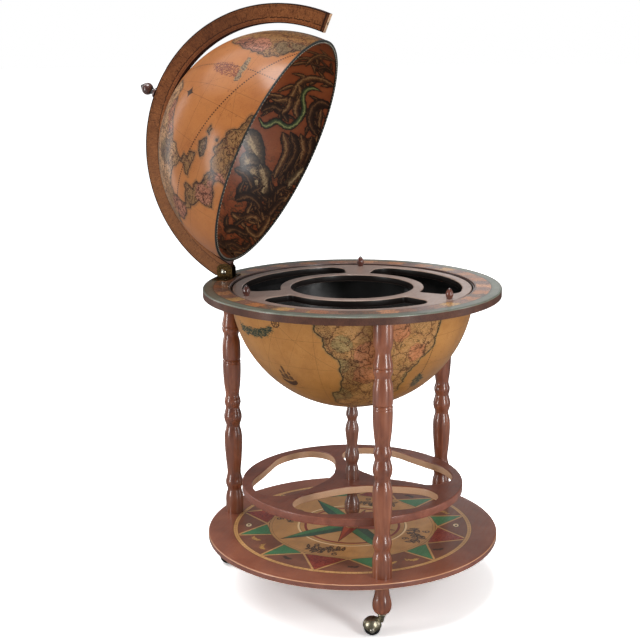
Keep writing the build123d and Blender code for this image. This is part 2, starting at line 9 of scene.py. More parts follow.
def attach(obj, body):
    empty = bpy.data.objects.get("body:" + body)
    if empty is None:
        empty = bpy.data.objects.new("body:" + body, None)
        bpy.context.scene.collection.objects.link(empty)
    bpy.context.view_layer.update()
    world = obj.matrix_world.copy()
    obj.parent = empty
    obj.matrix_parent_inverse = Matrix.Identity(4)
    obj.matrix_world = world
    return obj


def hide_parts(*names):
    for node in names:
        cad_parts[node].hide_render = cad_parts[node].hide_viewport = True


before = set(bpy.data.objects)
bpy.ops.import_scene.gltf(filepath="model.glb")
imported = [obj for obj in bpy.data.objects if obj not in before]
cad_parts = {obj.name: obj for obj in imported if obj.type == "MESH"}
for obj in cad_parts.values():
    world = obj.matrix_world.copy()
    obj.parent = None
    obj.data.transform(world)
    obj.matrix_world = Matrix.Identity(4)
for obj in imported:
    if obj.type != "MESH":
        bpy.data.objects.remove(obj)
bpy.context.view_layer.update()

# A floor-standing globe bar with its lid open. Sizes below are in millimetres in the part's own frame
# (column axis at the origin, floor at z 0, +Y towards the hinge); meshes are made in metres.
MM = 0.001
SPHERE_Z = 646.5
HINGE = (281.9, 660.9)
OPEN = math.radians(66.5)
LEG_AZ = {"rear": 90.0, "right": -30.0, "left": 210.0}
scene = bpy.context.scene
rng = np.random.default_rng(11)


# ------------------------------------------------------------------ frames
def opened(p):
    """Points of the shut lid, turned to the open position about the hinge."""
    p = np.asarray(p, float)
    y, z = p[:, 1] - HINGE[0], p[:, 2] - HINGE[1]
    c, s = math.cos(OPEN), math.sin(OPEN)
    return np.stack([p[:, 0], y * c + z * s + HINGE[0], -y * s + z * c + HINGE[1]], 1)


def polar(r, az):
    return r * math.cos(math.radians(az)), r * math.sin(math.radians(az))


# ------------------------------------------------------------------ meshes
def spline(points, step):
    """Natural cubic curve through the points, sampled about every step."""
    p = np.asarray(points, float)
    if len(p) == 2:
        return p
    t = np.r_[0, np.cumsum(np.linalg.norm(np.diff(p, axis=0), axis=1))]
    n, h = len(p), np.diff(t)
    a = np.eye(n)
    rhs = np.zeros((n, 2))
    for i in range(1, n - 1):
        a[i, i - 1], a[i, i], a[i, i + 1] = h[i - 1], 2 * (h[i - 1] + h[i]), h[i]
        rhs[i] = 6 * ((p[i + 1] - p[i]) / h[i] - (p[i] - p[i - 1]) / h[i - 1])
    m = np.linalg.solve(a, rhs)
    out = []
    for i in range(n - 1):
        k = max(2, int(math.ceil(h[i] / step)))
        for j in range(k):
            x = h[i] * j / k
            u, v = h[i] - x, x
            out.append((m[i] * u**3 + m[i + 1] * v**3) / (6 * h[i])
                       + (p[i] / h[i] - m[i] * h[i] / 6) * u + (p[i + 1] / h[i] - m[i + 1] * h[i] / 6) * v)
    out.append(p[-1])
    return np.array(out)


def profile(runs, step=0.9):
    pts = []
    for run in runs:
        s = spline(run, step)
        pts.extend(s if not pts else s[1:])
    return np.array(pts)


def lathe(prof, n, closed=False, turn=0.0):
    """Vertices and faces of a surface turned about Z. Profile points on the axis become one vertex."""
    ang = turn + 2 * np.pi * np.arange(n) / n
    cs, sn = np.cos(ang), np.sin(ang)
    verts, rings = [], []
    k = 0
    for r, z in prof:
        if r < 1e-6:
            verts.append(np.array([[0, 0, z]]))
            rings.append((k, 1))
            k += 1
        else:
            verts.append(np.stack([r * cs, r * sn, np.full(n, z)], 1))
            rings.append((k, n))
            k += n
    quads, tris = [], []
    i = np.arange(n)
    j = (i + 1) % n
    pairs = list(zip(rings[:-1], rings[1:])) + ([(rings[-1], rings[0])] if closed else [])
    for (a, na), (b, nb) in pairs:
        if na == n and nb == n:
            quads.append(np.stack([a + i, a + j, b + j, b + i], 1))
        elif na == 1 and nb == n:
            tris.append(np.stack([np.full(n, a), b + j, b + i], 1))
        elif nb == 1 and na == n:
            tris.append(np.stack([a + i, a + j, np.full(n, b)], 1))
    return np.concatenate(verts), quads, tris


def mesh_from(name, verts, quads=(), tris=()):
    """A mesh from vertex rows in millimetres and arrays of quads and triangles."""
    q = np.concatenate(quads) if len(quads) else np.zeros((0, 4), int)
    t = np.concatenate(tris) if len(tris) else np.zeros((0, 3), int)
    me = bpy.data.meshes.new(name)
    me.vertices.add(len(verts))
    me.vertices.foreach_set("co", (np.asarray(verts) * MM).astype(np.float32).ravel())
    loops = np.concatenate([q.ravel(), t.ravel()])
    me.loops.add(len(loops))
    me.loops.foreach_set("vertex_index", loops.astype(np.int32))
    sizes = np.r_[np.full(len(q), 4), np.full(len(t), 3)]
    me.polygons.add(len(sizes))
    me.polygons.foreach_set("loop_start", np.r_[0, np.cumsum(sizes)[:-1]].astype(np.int32))
    me.update(calc_edges=True)
    me.validate()
    return me


def smooth(me, angle=35):
    me.polygons.foreach_set("use_smooth", np.ones(len(me.polygons), bool))
    me.set_sharp_from_angle(angle=math.radians(angle))


def piece(name, me, body, mat, replaces=()):
    ob = bpy.data.objects.new(name, me)
    scene.collection.objects.link(ob)
    me.materials.clear()
    me.materials.append(mat)
    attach(ob, body)
    if replaces:
        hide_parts(*replaces)
    return ob


def floats(me, name, values):
    a = me.attributes.new(name, "FLOAT", "POINT")
    a.data.foreach_set("value", np.asarray(values, np.float32))


def vectors(me, name, values):
    a = me.attributes.new(name, "FLOAT_VECTOR", "POINT")
    a.data.foreach_set("vector", np.asarray(values, np.float32).ravel())


def plate(name, outlines, z0, z1, bevel, steps=3):
    """A flat board with rounded edges from closed outlines; the first is the outside and the rest are holes."""
    cu = bpy.data.curves.new(name, "CURVE")
    cu.dimensions = "2D"
    cu.fill_mode = "BOTH"
    cu.extrude = (z1 - z0) / 2 * MM - bevel * MM
    cu.bevel_depth = bevel * MM
    cu.bevel_resolution = steps
    cu.offset = -bevel * MM
    for pts in outlines:
        sp = cu.splines.new("POLY")
        sp.points.add(len(pts) - 1)
        sp.points.foreach_set("co", np.c_[np.asarray(pts) * MM, np.zeros(len(pts)), np.ones(len(pts))].ravel())
        sp.use_cyclic_u = True
    ob = bpy.data.objects.new(name, cu)
    scene.collection.objects.link(ob)
    me = bpy.data.meshes.new_from_object(ob.evaluated_get(bpy.context.evaluated_depsgraph_get()))
    bpy.data.objects.remove(ob)
    bpy.data.curves.remove(cu)
    me.transform(Matrix.Translation((0, 0, (z0 + z1) / 2 * MM)))
    import bmesh
    bm = bmesh.new()
    bm.from_mesh(me)
    bmesh.ops.remove_doubles(bm, verts=bm.verts, dist=0.02 * MM)
    bmesh.ops.recalc_face_normals(bm, faces=bm.faces)
    bm.to_mesh(me)
    bm.free()
    for p in me.polygons:
        p.use_smooth = abs(p.normal.z) < 0.9995
    me.materials.clear()
    return me


def circle(r, n, cx=0.0, cy=0.0):
    a = 2 * np.pi * np.arange(n) / n
    return np.stack([cx + r * np.cos(a), cy + r * np.sin(a)], 1)


def periodic(points, n):
    """Closed smooth curve through the points, n samples."""
    p = np.asarray(points, float)
    q = np.concatenate([p[-4:], p, p[:5]])
    t = np.r_[0, np.cumsum(np.linalg.norm(np.diff(q, axis=0), axis=1))]
    s = spline(q, 0.6)
    ts = np.r_[0, np.cumsum(np.linalg.norm(np.diff(s, axis=0), axis=1))]
    a, b = np.interp([t[4], t[4 + len(p)]], t, t) * ts[-1] / t[-1]
    # the curve's own length differs a little from the chords', so the ends are found on the samples
    ia = int(np.argmin(np.linalg.norm(s - p[0], axis=1)[: len(s) // 2]))
    ib = len(s) // 2 + int(np.argmin(np.linalg.norm(s[len(s) // 2:] - p[0], axis=1)))
    c = s[ia:ib + 1]
    tc = np.r_[0, np.cumsum(np.linalg.norm(np.diff(c, axis=0), axis=1))]
    u = np.linspace(0, tc[-1], n, endpoint=False)
    return np.stack([np.interp(u, tc, c[:, 0]), np.interp(u, tc, c[:, 1])], 1)


# ------------------------------------------------------- distance to prints
def inside(p, poly):
    """Which of the 2-D points lie inside the polygon."""
    x, y = p[:, 0], p[:, 1]
    res = np.zeros(len(p), bool)
    q = np.roll(poly, -1, 0)
    for (x1, y1), (x2, y2) in zip(poly, q):
        if y1 == y2:
            continue
        c = (y1 > y) != (y2 > y)
        res ^= c & (x < (y - y1) * (x2 - x1) / (y2 - y1) + x1)
    return res


def seg_dist(p, a, b):
    """Distance from the points to the segment a-b, and the signed side."""
    d = b - a
    L = float(d @ d)
    w = p - a
    t = np.clip((w @ d) / max(L, 1e-12), 0, 1)
    e = w - t[:, None] * d
    return np.linalg.norm(e, axis=1), np.sign(d[0] * w[:, 1] - d[1] * w[:, 0])


def poly_sdf(p, poly, limit=60.0):
    """Signed distance to a closed polygon, negative inside; far points keep the limit."""
    poly = np.asarray(poly, float)
    out = np.full(len(p), limit)
    lo, hi = poly.min(0) - limit, poly.max(0) + limit
    k = np.where((p[:, 0] > lo[0]) & (p[:, 0] < hi[0]) & (p[:, 1] > lo[1]) & (p[:, 1] < hi[1]))[0]
    if not len(k):
        return out
    s = p[k]
    d = np.full(len(k), limit)
    for a, b in zip(poly, np.roll(poly, -1, 0)):
        d = np.minimum(d, seg_dist(s, a, b)[0])
    out[k] = np.where(inside(s, poly), -d, d)
    return out


def union(*fields):
    out = fields[0]
    for f in fields[1:]:
        out = np.minimum(out, f)
    return out


def stroke_fields(p, lines, limit=30.0):
    """Signed and plain distance to open lines: the sign changes across the nearest line."""
    plain = np.full(len(p), limit)
    signed = np.full(len(p), limit)
    for line in lines:
        line = np.asarray(line, float)
        lo, hi = line.min(0) - limit, line.max(0) + limit
        k = np.where((p[:, 0] > lo[0]) & (p[:, 0] < hi[0]) & (p[:, 1] > lo[1]) & (p[:, 1] < hi[1]))[0]
        if not len(k):
            continue
        s = p[k]
        for a, b in zip(line[:-1], line[1:]):
            d, side = seg_dist(s, a, b)
            m = d < plain[k]
            kk = k[m]
            plain[kk] = d[m]
            signed[kk] = d[m] * np.where(side[m] >= 0, 1, -1)
    return signed, plain


def rough(poly, amount, levels, seed):
    """Breaks up a closed outline by midpoint displacement, for a drawn coast."""
    g = np.random.default_rng(seed)
    p = np.asarray(poly, float)
    for _ in range(levels):
        q = np.roll(p, -1, 0)
        d = q - p
        L = np.linalg.norm(d, axis=1, keepdims=True)
        nrm = np.stack([-d[:, 1], d[:, 0]], 1)
        m = (p + q) / 2 + nrm * g.normal(0, amount, (len(p), 1))
        p = np.stack([p, m], 1).reshape(-1, 2)
    return p


def on_sphere(uv, upper=True):
    """Stereographic plane points to unit vectors; the pole is at the plane's origin."""
    uv = np.asarray(uv, float)
    s = (uv**2).sum(1)
    z = (1 - s) / (1 + s)
    k = 2 / (1 + s)
    return np.stack([uv[:, 0] * k, uv[:, 1] * k, z if upper else -z], 1)


def to_plane(u, upper=True):
    u = np.asarray(u, float)
    z = u[:, 2] if upper else -u[:, 2]
    return u[:, :2] / (1 + z)[:, None]


def az_el(points, upper=True):
    """Longitude and latitude pairs in degrees to the stereographic plane."""
    out = []
    for a, e in points:
        a, e = math.radians(a), math.radians(e)
        out.append((math.cos(e) * math.cos(a), math.cos(e) * math.sin(a), math.sin(e) if upper else -math.sin(e)))
    return to_plane(np.array(out), upper)


def sphere_sdf(units, polys, radius, upper=True, limit=40.0):
    """Signed distance in mm, on a globe of that radius, to the union of closed outlines in the plane."""
    pts, flag = [], []
    for poly in polys:
        u = on_sphere(poly, upper)
        v = np.roll(u, -1, 0)
        for a, b in zip(u, v):
            k = max(1, int(np.linalg.norm(a - b) * radius / 1.2))
            for j in range(k):
                w = a + (b - a) * j / k
                pts.append(w / np.linalg.norm(w))
    tree = KDTree(len(pts))
    for i, w in enumerate(pts):
        tree.insert(w, i)
    tree.balance()
    d = np.array([tree.find(u)[2] for u in units]) * radius
    p = to_plane(units, upper)
    ins = np.zeros(len(units), bool)
    for poly in polys:
        ins |= inside(p, np.asarray(poly))
    return np.clip(np.where(ins, -d, d), -limit, limit)


# --------------------------------------------------------------- materials
def rgb(code):
    c = [int(code[i:i + 2], 16) / 255 for i in (0, 2, 4)]
    return tuple(x / 12.92 if x <= 0.04045 else ((x + 0.055) / 1.055) ** 2.4 for x in c) + (1.0,)


class Shade:
    """Small helper that builds one node material."""

    def __init__(self, name, roughness=0.5, metallic=0.0, coat=0.0, coat_rough=0.1, specular=0.5):
        self.mat = bpy.data.materials.new(name)
        self.mat.use_nodes = True
        self.t = self.mat.node_tree
        self.t.nodes.clear()
        self.bsdf = self.t.nodes.new("ShaderNodeBsdfPrincipled")
        out = self.t.nodes.new("ShaderNodeOutputMaterial")
        self.t.links.new(self.bsdf.outputs[0], out.inputs[0])
        self.bsdf.inputs["Roughness"].default_value = roughness
        self.bsdf.inputs["Metallic"].default_value = metallic
        self.bsdf.inputs["Coat Weight"].default_value = coat
        self.bsdf.inputs["Coat Roughness"].default_value = coat_rough
        self.bsdf.inputs["Specular IOR Level"].default_value = specular
        self._pos = None

    def put(self, socket, v):
        if isinstance(v, bpy.types.NodeSocket):
            self.t.links.new(v, socket)
        elif isinstance(v, str):
            socket.default_value = rgb(v)
        elif v is not None:
            socket.default_value = v

    def node(self, kind, **props):
        n = self.t.nodes.new(kind)
        for k, v in props.items():
            setattr(n, k, v)
        return n

    def m(self, op, a, b=None, c=None, clamp=False):
        n = self.node("ShaderNodeMath", operation=op, use_clamp=clamp)
        for s, v in zip(n.inputs, (a, b, c)):
            self.put(s, v)
        return n.outputs[0]

    def add(self, *v):
        r = v[0]
        for x in v[1:]:
            r = self.m("ADD", r, x)
        return r

    def mul(self, *v):
        r = v[0]
        for x in v[1:]:
            r = self.m("MULTIPLY", r, x)
        return r

    def vm(self, op, a, b=None, scale=None):
        n = self.node("ShaderNodeVectorMath", operation=op)
        self.put(n.inputs[0], a)
        if b is not None:
            self.put(n.inputs[1], b)
        if scale is not None:
            self.put(n.inputs["Scale"], scale)
        return n.outputs["Value"] if op in ("DOT_PRODUCT", "LENGTH", "DISTANCE") else n.outputs["Vector"]

    def pos(self):
        """Object position in millimetres."""
        if self._pos is None:
            tc = self.node("ShaderNodeTexCoord")
            self._pos = self.vm("SCALE", tc.outputs["Object"], scale=1000.0)
        return self._pos

    def shut(self):
        """Object position of a lid piece, turned back to the shut position, in mm from the globe's centre."""
        p = self.vm("SUBTRACT", self.pos(), (0.0, HINGE[0], HINGE[1]))
        n = self.node("ShaderNodeVectorRotate", rotation_type="X_AXIS")
        self.put(n.inputs["Vector"], p)
        n.inputs["Angle"].default_value = OPEN
        return self.vm("ADD", n.outputs[0], (0.0, HINGE[0], HINGE[1] - SPHERE_Z))

    def xyz(self, v):
        n = self.node("ShaderNodeSeparateXYZ")
        self.put(n.inputs[0], v)
        return n.outputs

    def vec(self, x, y, z):
        n = self.node("ShaderNodeCombineXYZ")
        for s, v in zip(n.inputs, (x, y, z)):
            self.put(s, v)
        return n.outputs[0]

    def attr(self, name):
        return self.node("ShaderNodeAttribute", attribute_name=name).outputs["Fac"]

    def vattr(self, name):
        return self.node("ShaderNodeAttribute", attribute_name=name).outputs["Vector"]

    def noise(self, vec, scale, detail=3.0, roughness=0.55, distort=0.0, colour=False):
        n = self.node("ShaderNodeTexNoise")
        self.put(n.inputs["Vector"], vec)
        self.put(n.inputs["Scale"], scale)
        n.inputs["Detail"].default_value = detail
        n.inputs["Roughness"].default_value = roughness
        n.inputs["Distortion"].default_value = distort
        return n.outputs["Color" if colour else "Fac"]

    def cells(self, vec, scale, feature="F1", rand=1.0):
        n = self.node("ShaderNodeTexVoronoi", feature=feature)
        self.put(n.inputs["Vector"], vec)
        self.put(n.inputs["Scale"], scale)
        n.inputs["Randomness"].default_value = rand
        return n

    def hills(self, p, size, radius, half):
        """Small drawn humps scattered over the land, one in each cell."""
        n = self.cells(p, 1.0 / size, rand=0.85)
        d = self.vm("SUBTRACT", p, n.outputs["Position"])
        ring = self.line(self.vm("LENGTH", d), half, half * 0.7, at=radius)
        return self.mul(ring, self.step(self.xyz(d)[2], -radius * 0.25, radius * 0.35))

    def strokes(self, p, turn, along, across, low, high):
        """Short broken pen strokes that lie in one direction."""
        r = self.node("ShaderNodeVectorRotate", rotation_type="EULER_XYZ")
        self.put(r.inputs["Vector"], p)
        r.inputs["Rotation"].default_value = turn
        q = self.vm("MULTIPLY", r.outputs[0], (along, across, across))
        return self.step(self.noise(q, 1.0, 2.0, 0.6), low, high)

    def white(self, v):
        n = self.node("ShaderNodeTexWhiteNoise", noise_dimensions="1D")
        self.put(n.inputs["W"], v)
        return n.outputs["Value"]

    def mix(self, f, a, b, mode="MIX"):
        n = self.node("ShaderNodeMix", data_type="RGBA", blend_type=mode, clamp_factor=True)
        self.put(n.inputs[0], f)
        self.put(n.inputs[6], a)
        self.put(n.inputs[7], b)
        return n.outputs[2]

    def ramp(self, f, stops, hard=False):
        n = self.node("ShaderNodeValToRGB")
        cr = n.color_ramp
        cr.interpolation = "CONSTANT" if hard else "LINEAR"
        while len(cr.elements) < len(stops):
            cr.elements.new(0.5)
        for e, (x, c) in zip(cr.elements, stops):
            e.position = x
            e.color = rgb(c) if isinstance(c, str) else (c, c, c, 1.0)
        self.put(n.inputs[0], f)
        return n.outputs[0]

    def step(self, x, lo, hi, a=0.0, b=1.0):
        """Smooth rise from a to b as x goes from lo to hi."""
        n = self.node("ShaderNodeMapRange", interpolation_type="SMOOTHSTEP")
        self.put(n.inputs["Value"], x)
        for k, v in (("From Min", lo), ("From Max", hi), ("To Min", a), ("To Max", b)):
            self.put(n.inputs[k], v)
        return n.outputs[0]

    def under(self, x, edge, soft=0.4):
        """1 where x is less than the edge."""
        return self.step(x, edge - soft, edge + soft, 1.0, 0.0)

    def line(self, x, half, soft=0.35, at=0.0):
        d = self.m("ABSOLUTE", x if at == 0.0 else self.m("SUBTRACT", x, at))
        return self.under(d, half, soft)

    def between(self, x, lo, hi, soft=0.4):
        return self.mul(self.step(x, lo - soft, lo + soft), self.step(x, hi - soft, hi + soft, 1.0, 0.0))

    def bump(self, height, strength, distance):
        n = self.node("ShaderNodeBump")
        n.inputs["Strength"].default_value = strength
        n.inputs["Distance"].default_value = distance
        self.put(n.inputs["Height"], height)
        self.t.links.new(n.outputs[0], self.bsdf.inputs["Normal"])
        if self.bsdf.inputs["Coat Weight"].default_value > 0:
            self.t.links.new(n.outputs[0], self.bsdf.inputs["Coat Normal"])

    def colour(self, c):
        self.put(self.bsdf.inputs["Base Color"], c)

    def rough(self, r):
        self.put(self.bsdf.inputs["Roughness"], r)


# Lacquered turned wood: even reddish brown under a clear coat, with painted shade darkening the grooves, faint grain
# along the piece.
def lacquer(name, dark, mid, warm, length_scale=0.02, groove_shade=True, roughness=0.34, along="z", coat=0.9):
    s = Shade(name, roughness=roughness, coat=coat, coat_rough=0.09)
    p = s.pos()
    x, y, z = s.xyz(p)
    if along == "z":
        g = s.vec(x, y, s.mul(z, length_scale))
        slow = s.vec(s.mul(x, 0.25), s.mul(y, 0.25), s.mul(z, 0.09))
    else:
        g = s.vec(s.mul(x, 0.2), s.mul(y, 0.2), s.mul(z, 0.2))
        slow = g
    fine = s.noise(g, 0.4, 3.0, 0.55, 0.3)
    streak = s.noise(g, 0.11, 2.0, 0.5, 0.8)
    blotch = s.noise(slow, 0.12, 3.0, 0.5)
    t = s.add(s.mul(streak, 0.35), s.mul(fine, 0.15), s.mul(blotch, 0.5))
    c = s.ramp(t, [(0.36, dark), (0.52, mid), (0.68, warm)])
    pore = s.step(s.noise(g, 1.6, 2.0, 0.6), 0.62, 0.74)
    c = s.mix(s.mul(pore, 0.22), c, dark)
    # painted shade: the grooves are darkened by their depth, the deepest towards near-black brown
    if groove_shade:
        gr = s.attr("groove_shade")
        c = s.mix(s.mul(gr, 0.5), c, dark)
        c = s.mix(s.step(gr, 0.35, 0.9, 0.0, 0.78), c, "1a0a06")
    s.colour(c)
    s.rough(s.step(fine, 0.3, 0.8, roughness - 0.03, roughness + 0.06))
    s.bump(s.add(s.mul(fine, 0.4), s.mul(blotch, 0.5)), 0.06, 0.0005)
    return s.mat


# Flat boards: stained fibreboard with a satin film and faint mottling; cut faces can take their own colour, and a band
# of the rounded edge can be lightened as a painted highlight.
def board_mat(name, dark, mid, light, roughness=0.38, coat=0.35, cut=None, rim=None):
    s = Shade(name, roughness=roughness, coat=coat, coat_rough=0.22)
    p = s.pos()
    x, y, z = s.xyz(p)
    a = s.noise(p, 0.03, 4.0, 0.55, 0.5)
    b = s.noise(s.vec(s.mul(x, 0.15), y, z), 0.22, 4.0, 0.6, 0.6)
    f = s.noise(p, 1.4, 2.0, 0.5)
    c = s.ramp(s.add(s.mul(a, 0.6), s.mul(b, 0.3), s.mul(f, 0.1)), [(0.34, dark), (0.52, mid), (0.72, light)])
    # cut faces of the openings get their own colour: raw fibre tan on the rack, near-black painted shade on the board
    if cut:
        r = s.vm("LENGTH", s.vec(x, y, 0.0))
        top, bottom, rmax, tone, tone2 = cut
        mask = s.mul(s.between(z, bottom, top, 0.5), s.under(r, rmax, 0.5))
        cut_face_tone = s.mix(s.noise(s.vec(x, y, s.mul(z, 3.0)), 0.35, 3.0, 0.6), tone2, tone)
        c = s.mix(mask, c, cut_face_tone)
    # painted highlight: the band of the rounded edge between the given heights is lightened
    if rim:
        c = s.mix(s.mul(s.between(z, rim[0], rim[1], 0.15), 0.7), c, rim[2])
    s.colour(c)
    s.rough(s.step(b, 0.3, 0.75, roughness - 0.06, roughness + 0.08))
    s.bump(s.add(s.mul(b, 0.4), s.mul(f, 0.25)), 0.12, 0.0004)
    return s.mat


def metal(name, base, deep, bright, roughness=0.3, scale=0.35, metallic=1.0):
    s = Shade(name, roughness=roughness, metallic=metallic)
    p = s.pos()
    a = s.noise(p, scale, 5.0, 0.62, 0.3)
    b = s.noise(p, scale * 6, 2.0, 0.5)
    c = s.ramp(s.add(s.mul(a, 0.8), s.mul(b, 0.2)), [(0.36, deep), (0.52, base), (0.72, bright)])
    s.colour(c)
    s.rough(s.step(a, 0.35, 0.7, roughness + 0.14, roughness - 0.05))
    s.bump(b, 0.12, 0.0002)
    return s.mat


def matt(name, lo, hi, roughness=0.55, scale=0.12, coat=0.0):
    s = Shade(name, roughness=roughness, coat=coat, coat_rough=0.3)
    p = s.pos()
    a = s.noise(p, scale, 4.0, 0.6)
    f = s.noise(p, 2.2, 2.0, 0.5)
    s.colour(s.ramp(s.add(s.mul(a, 0.8), s.mul(f, 0.2)), [(0.35, lo), (0.7, hi)]))
    s.rough(s.step(a, 0.3, 0.7, roughness - 0.07, roughness + 0.07))
    s.bump(f, 0.15, 0.0003)
    return s.mat


LEG_MAT = lacquer("leg_lacquer", "592b1b", "7e462d", "945a3d")
COLUMN_MAT = lacquer("column_lacquer", "523026", "724736", "8a5841")
FINIAL_MAT = lacquer("finial_lacquer", "231614", "462823", "633d2f", along="all")
KNOB_MAT = lacquer("knob_lacquer", "46241c", "64372d", "7f4c3b", along="all", roughness=0.3)


# ------------------------------------------------------------ turned pieces
def turned(name, runs, body, mat, replaces, at=(0, 0), n=96, step=0.8, lid=False):
    prof = profile(runs, step)
    if prof[0][0] > 1e-6:
        prof = np.vstack([[0, prof[0][1]], prof])
    if prof[-1][0] > 1e-6:
        prof = np.vstack([prof, [0, prof[-1][1]]])
    keep = np.r_[True, np.linalg.norm(np.diff(prof, axis=0), axis=1) > 1e-4]
    prof = prof[keep]
    v, q, t = lathe(prof, n)
    # how deep each ring lies below the widest place within 12 mm: the grooves are darkened from this as painted shade
    s = np.interp(v[:, 2], *(lambda o: (prof[o, 1], prof[o, 0]))(np.argsort(prof[:, 1], kind="stable")))
    rr = np.hypot(v[:, 0], v[:, 1])
    zz = prof[:, 1]
    wide = np.array([prof[np.abs(zz - z) < 9.0, 0].max() for z in zz])
    wz = np.interp(v[:, 2], zz[np.argsort(zz, kind="stable")], wide[np.argsort(zz, kind="stable")])
    groove_shade = np.clip((wz - rr - 1.0) / 5.0, 0, 1)
    v = v + np.array([at[0], at[1], 0])
    if lid:
        v = opened(v)
    me = mesh_from(name, v, q, t)
    floats(me, "groove_shade", groove_shade)
    smooth(me, 32)
    return piece(name, me, body, mat, replaces)


LEG_RUNS = [
    [(19.3, 122.5), (19.3, 152)],
    [(19.3, 152), (19.0, 159), (18.0, 165), (16.4, 170.5), (15.4, 175.5), (16.2, 180.5), (18.0, 185.5), (18.9, 190.5),
     (18.5, 196), (17.2, 202), (15.6, 208), (14.9, 214.5), (15.1, 221), (15.9, 230), (16.9, 239), (17.7, 249),
     (18.4, 259), (19.0, 269), (19.4, 279), (19.5, 288), (19.3, 297), (18.6, 304), (17.2, 311), (15.5, 317.5),
     (15.1, 321.5), (15.9, 326), (17.8, 331.5), (19.1, 337), (19.4, 342), (18.8, 347.5), (17.3, 353), (15.8, 358.5),
     (15.3, 362), (16.0, 366), (17.3, 371), (17.8, 375.5), (17.2, 380), (15.7, 385), (14.8, 390), (15.1, 395.5),
     (15.9, 401), (17.0, 409), (17.9, 418), (18.6, 428), (19.1, 438), (19.4, 450), (19.4, 460.5)],
    [(19.4, 460.5), (18.7, 462.3)],
    [(18.7, 462.3), (19.3, 463.6), (19.4, 465.2), (19.0, 467)],
    [(19.0, 467), (17.5, 469)],
    [(17.5, 469), (19.3, 471.2)],
    [(19.3, 471.2), (19.6, 478), (19.6, 490), (19.4, 500), (18.9, 507), (17.8, 513), (16.3, 518.5), (15.7, 522.5),
     (16.2, 526.5), (17.9, 530.5), (19.1, 534.5), (19.2, 538.5), (18.8, 540.5)],
    [(18.8, 540.5), (17.6, 542)],
    [(17.6, 542), (19.0, 543.6)],
    [(19.0, 543.6), (19.0, 546), (18.2, 551), (16.9, 557.5), (15.7, 564), (15.1, 570), (15.5, 575), (16.8, 580),
     (18.3, 585), (19.1, 590), (19.3, 596)],
    [(19.3, 596), (19.3, 631.0)],
]
FOOT_RUNS = [
    [(10.5, 46.5), (13.0, 47.4), (15.6, 50.2), (17.8, 55), (18.9, 61), (18.9, 66), (18.2, 71.5), (16.7, 78), (15.0, 85),
     (14.1, 91), (13.9, 97), (14.6, 103), (15.8, 108)],
    [(15.8, 108), (15.8, 110.5)],
]
LOWER_RUNS = [
    [(15.2, 122.5), (15.2, 131)],
    [(15.2, 131), (14.6, 134), (12.4, 138.5), (11.2, 143), (12.2, 148), (14.6, 153), (16.2, 159), (16.5, 164.6)],
    [(16.5, 164.6), (15.6, 166)],
    [(15.6, 166), (16.5, 167.4)],
    [(16.5, 167.4), (16.4, 172), (15.3, 177), (13.2, 182.5), (11.4, 188), (10.9, 193), (11.7, 198), (13.6, 202.5), (14.4, 206)],
    [(14.4, 206), (14.4, 211.2)],
]
UPPER_RUNS = [
    [(14.2, 228.2), (14.2, 243)],
    [(14.2, 243), (13.6, 250), (12.4, 256), (11.5, 261.5), (12.4, 266), (14.2, 271), (15.4, 278), (15.0, 284.5),
     (13.4, 291), (11.6, 296.5), (11.1, 301), (11.5, 308), (12.3, 315), (13.1, 322), (13.9, 329), (14.6, 336.5),
     (14.2, 342.5), (12.6, 349), (10.6, 354.5), (9.9, 358.6), (10.7, 362.6), (12.2, 366.6), (13.0, 371), (12.6, 376),
     (11.4, 381.5), (9.9, 387), (8.9, 391)],
    [(8.9, 391), (8.9, 396.8)],
]
for name, az in LEG_AZ.items():
    turned(f"leg_{name}_turned", LEG_RUNS, "stand", LEG_MAT, (f"leg_{name}",), polar(272.0, az), n=112)
    turned(f"foot_{name}_turned", FOOT_RUNS, "stand", LEG_MAT, (f"foot_{name}",), polar(272.0, az), n=96)
turned("column_lower_turned", LOWER_RUNS, "stand", COLUMN_MAT, ("lower_column",))
turned("column_upper_turned", UPPER_RUNS, "stand", COLUMN_MAT, ("upper_column",))

z = 645.4
KNOB_RUNS = [
    [(5.6, z), (5.6, z + 1.2)],
    [(5.6, z + 1.2), (5.9, z + 2.6), (6.9, z + 5), (7.6, z + 8), (7.5, z + 10.5), (6.4, z + 14), (4.6, z + 17.4), (2.6, z + 20.2), (1.2, z + 21.6)],
    [(1.2, z + 21.6), (0.0, z + 22.0)],
]
for i, name in enumerate(("right", "left", "front")):
    turned(f"knob_{name}_turned", KNOB_RUNS, "insert", KNOB_MAT, (f"insert_knob_{name}",),
           polar(231.5, 13.0 + 120 * i), n=64, step=0.5)

z = 646.5 + 299.2
FINIAL_RUNS = [
    [(11.0, z - 0.4), (11.2, z + 1.6)],
    [(11.2, z + 1.6), (10.6, z + 3.0), (8.2, z + 3.8)],
    [(8.2, z + 3.8), (6.6, z + 5.2), (6.0, z + 7.6), (7.2, z + 10.4), (10.0, z + 13.6), (12.2, z + 17.6), (12.7, z + 21.6),
     (11.6, z + 25.8), (9.2, z + 29.6), (6.0, z + 32.8), (3.6, z + 35.0)],
    [(3.6, z + 35.0), (2.2, z + 37.2), (0.0, z + 38.2)],
]
turned("finial_turned", FINIAL_RUNS, "lid", FINIAL_MAT, ("pole_finial",), n=80, step=0.6, lid=True)


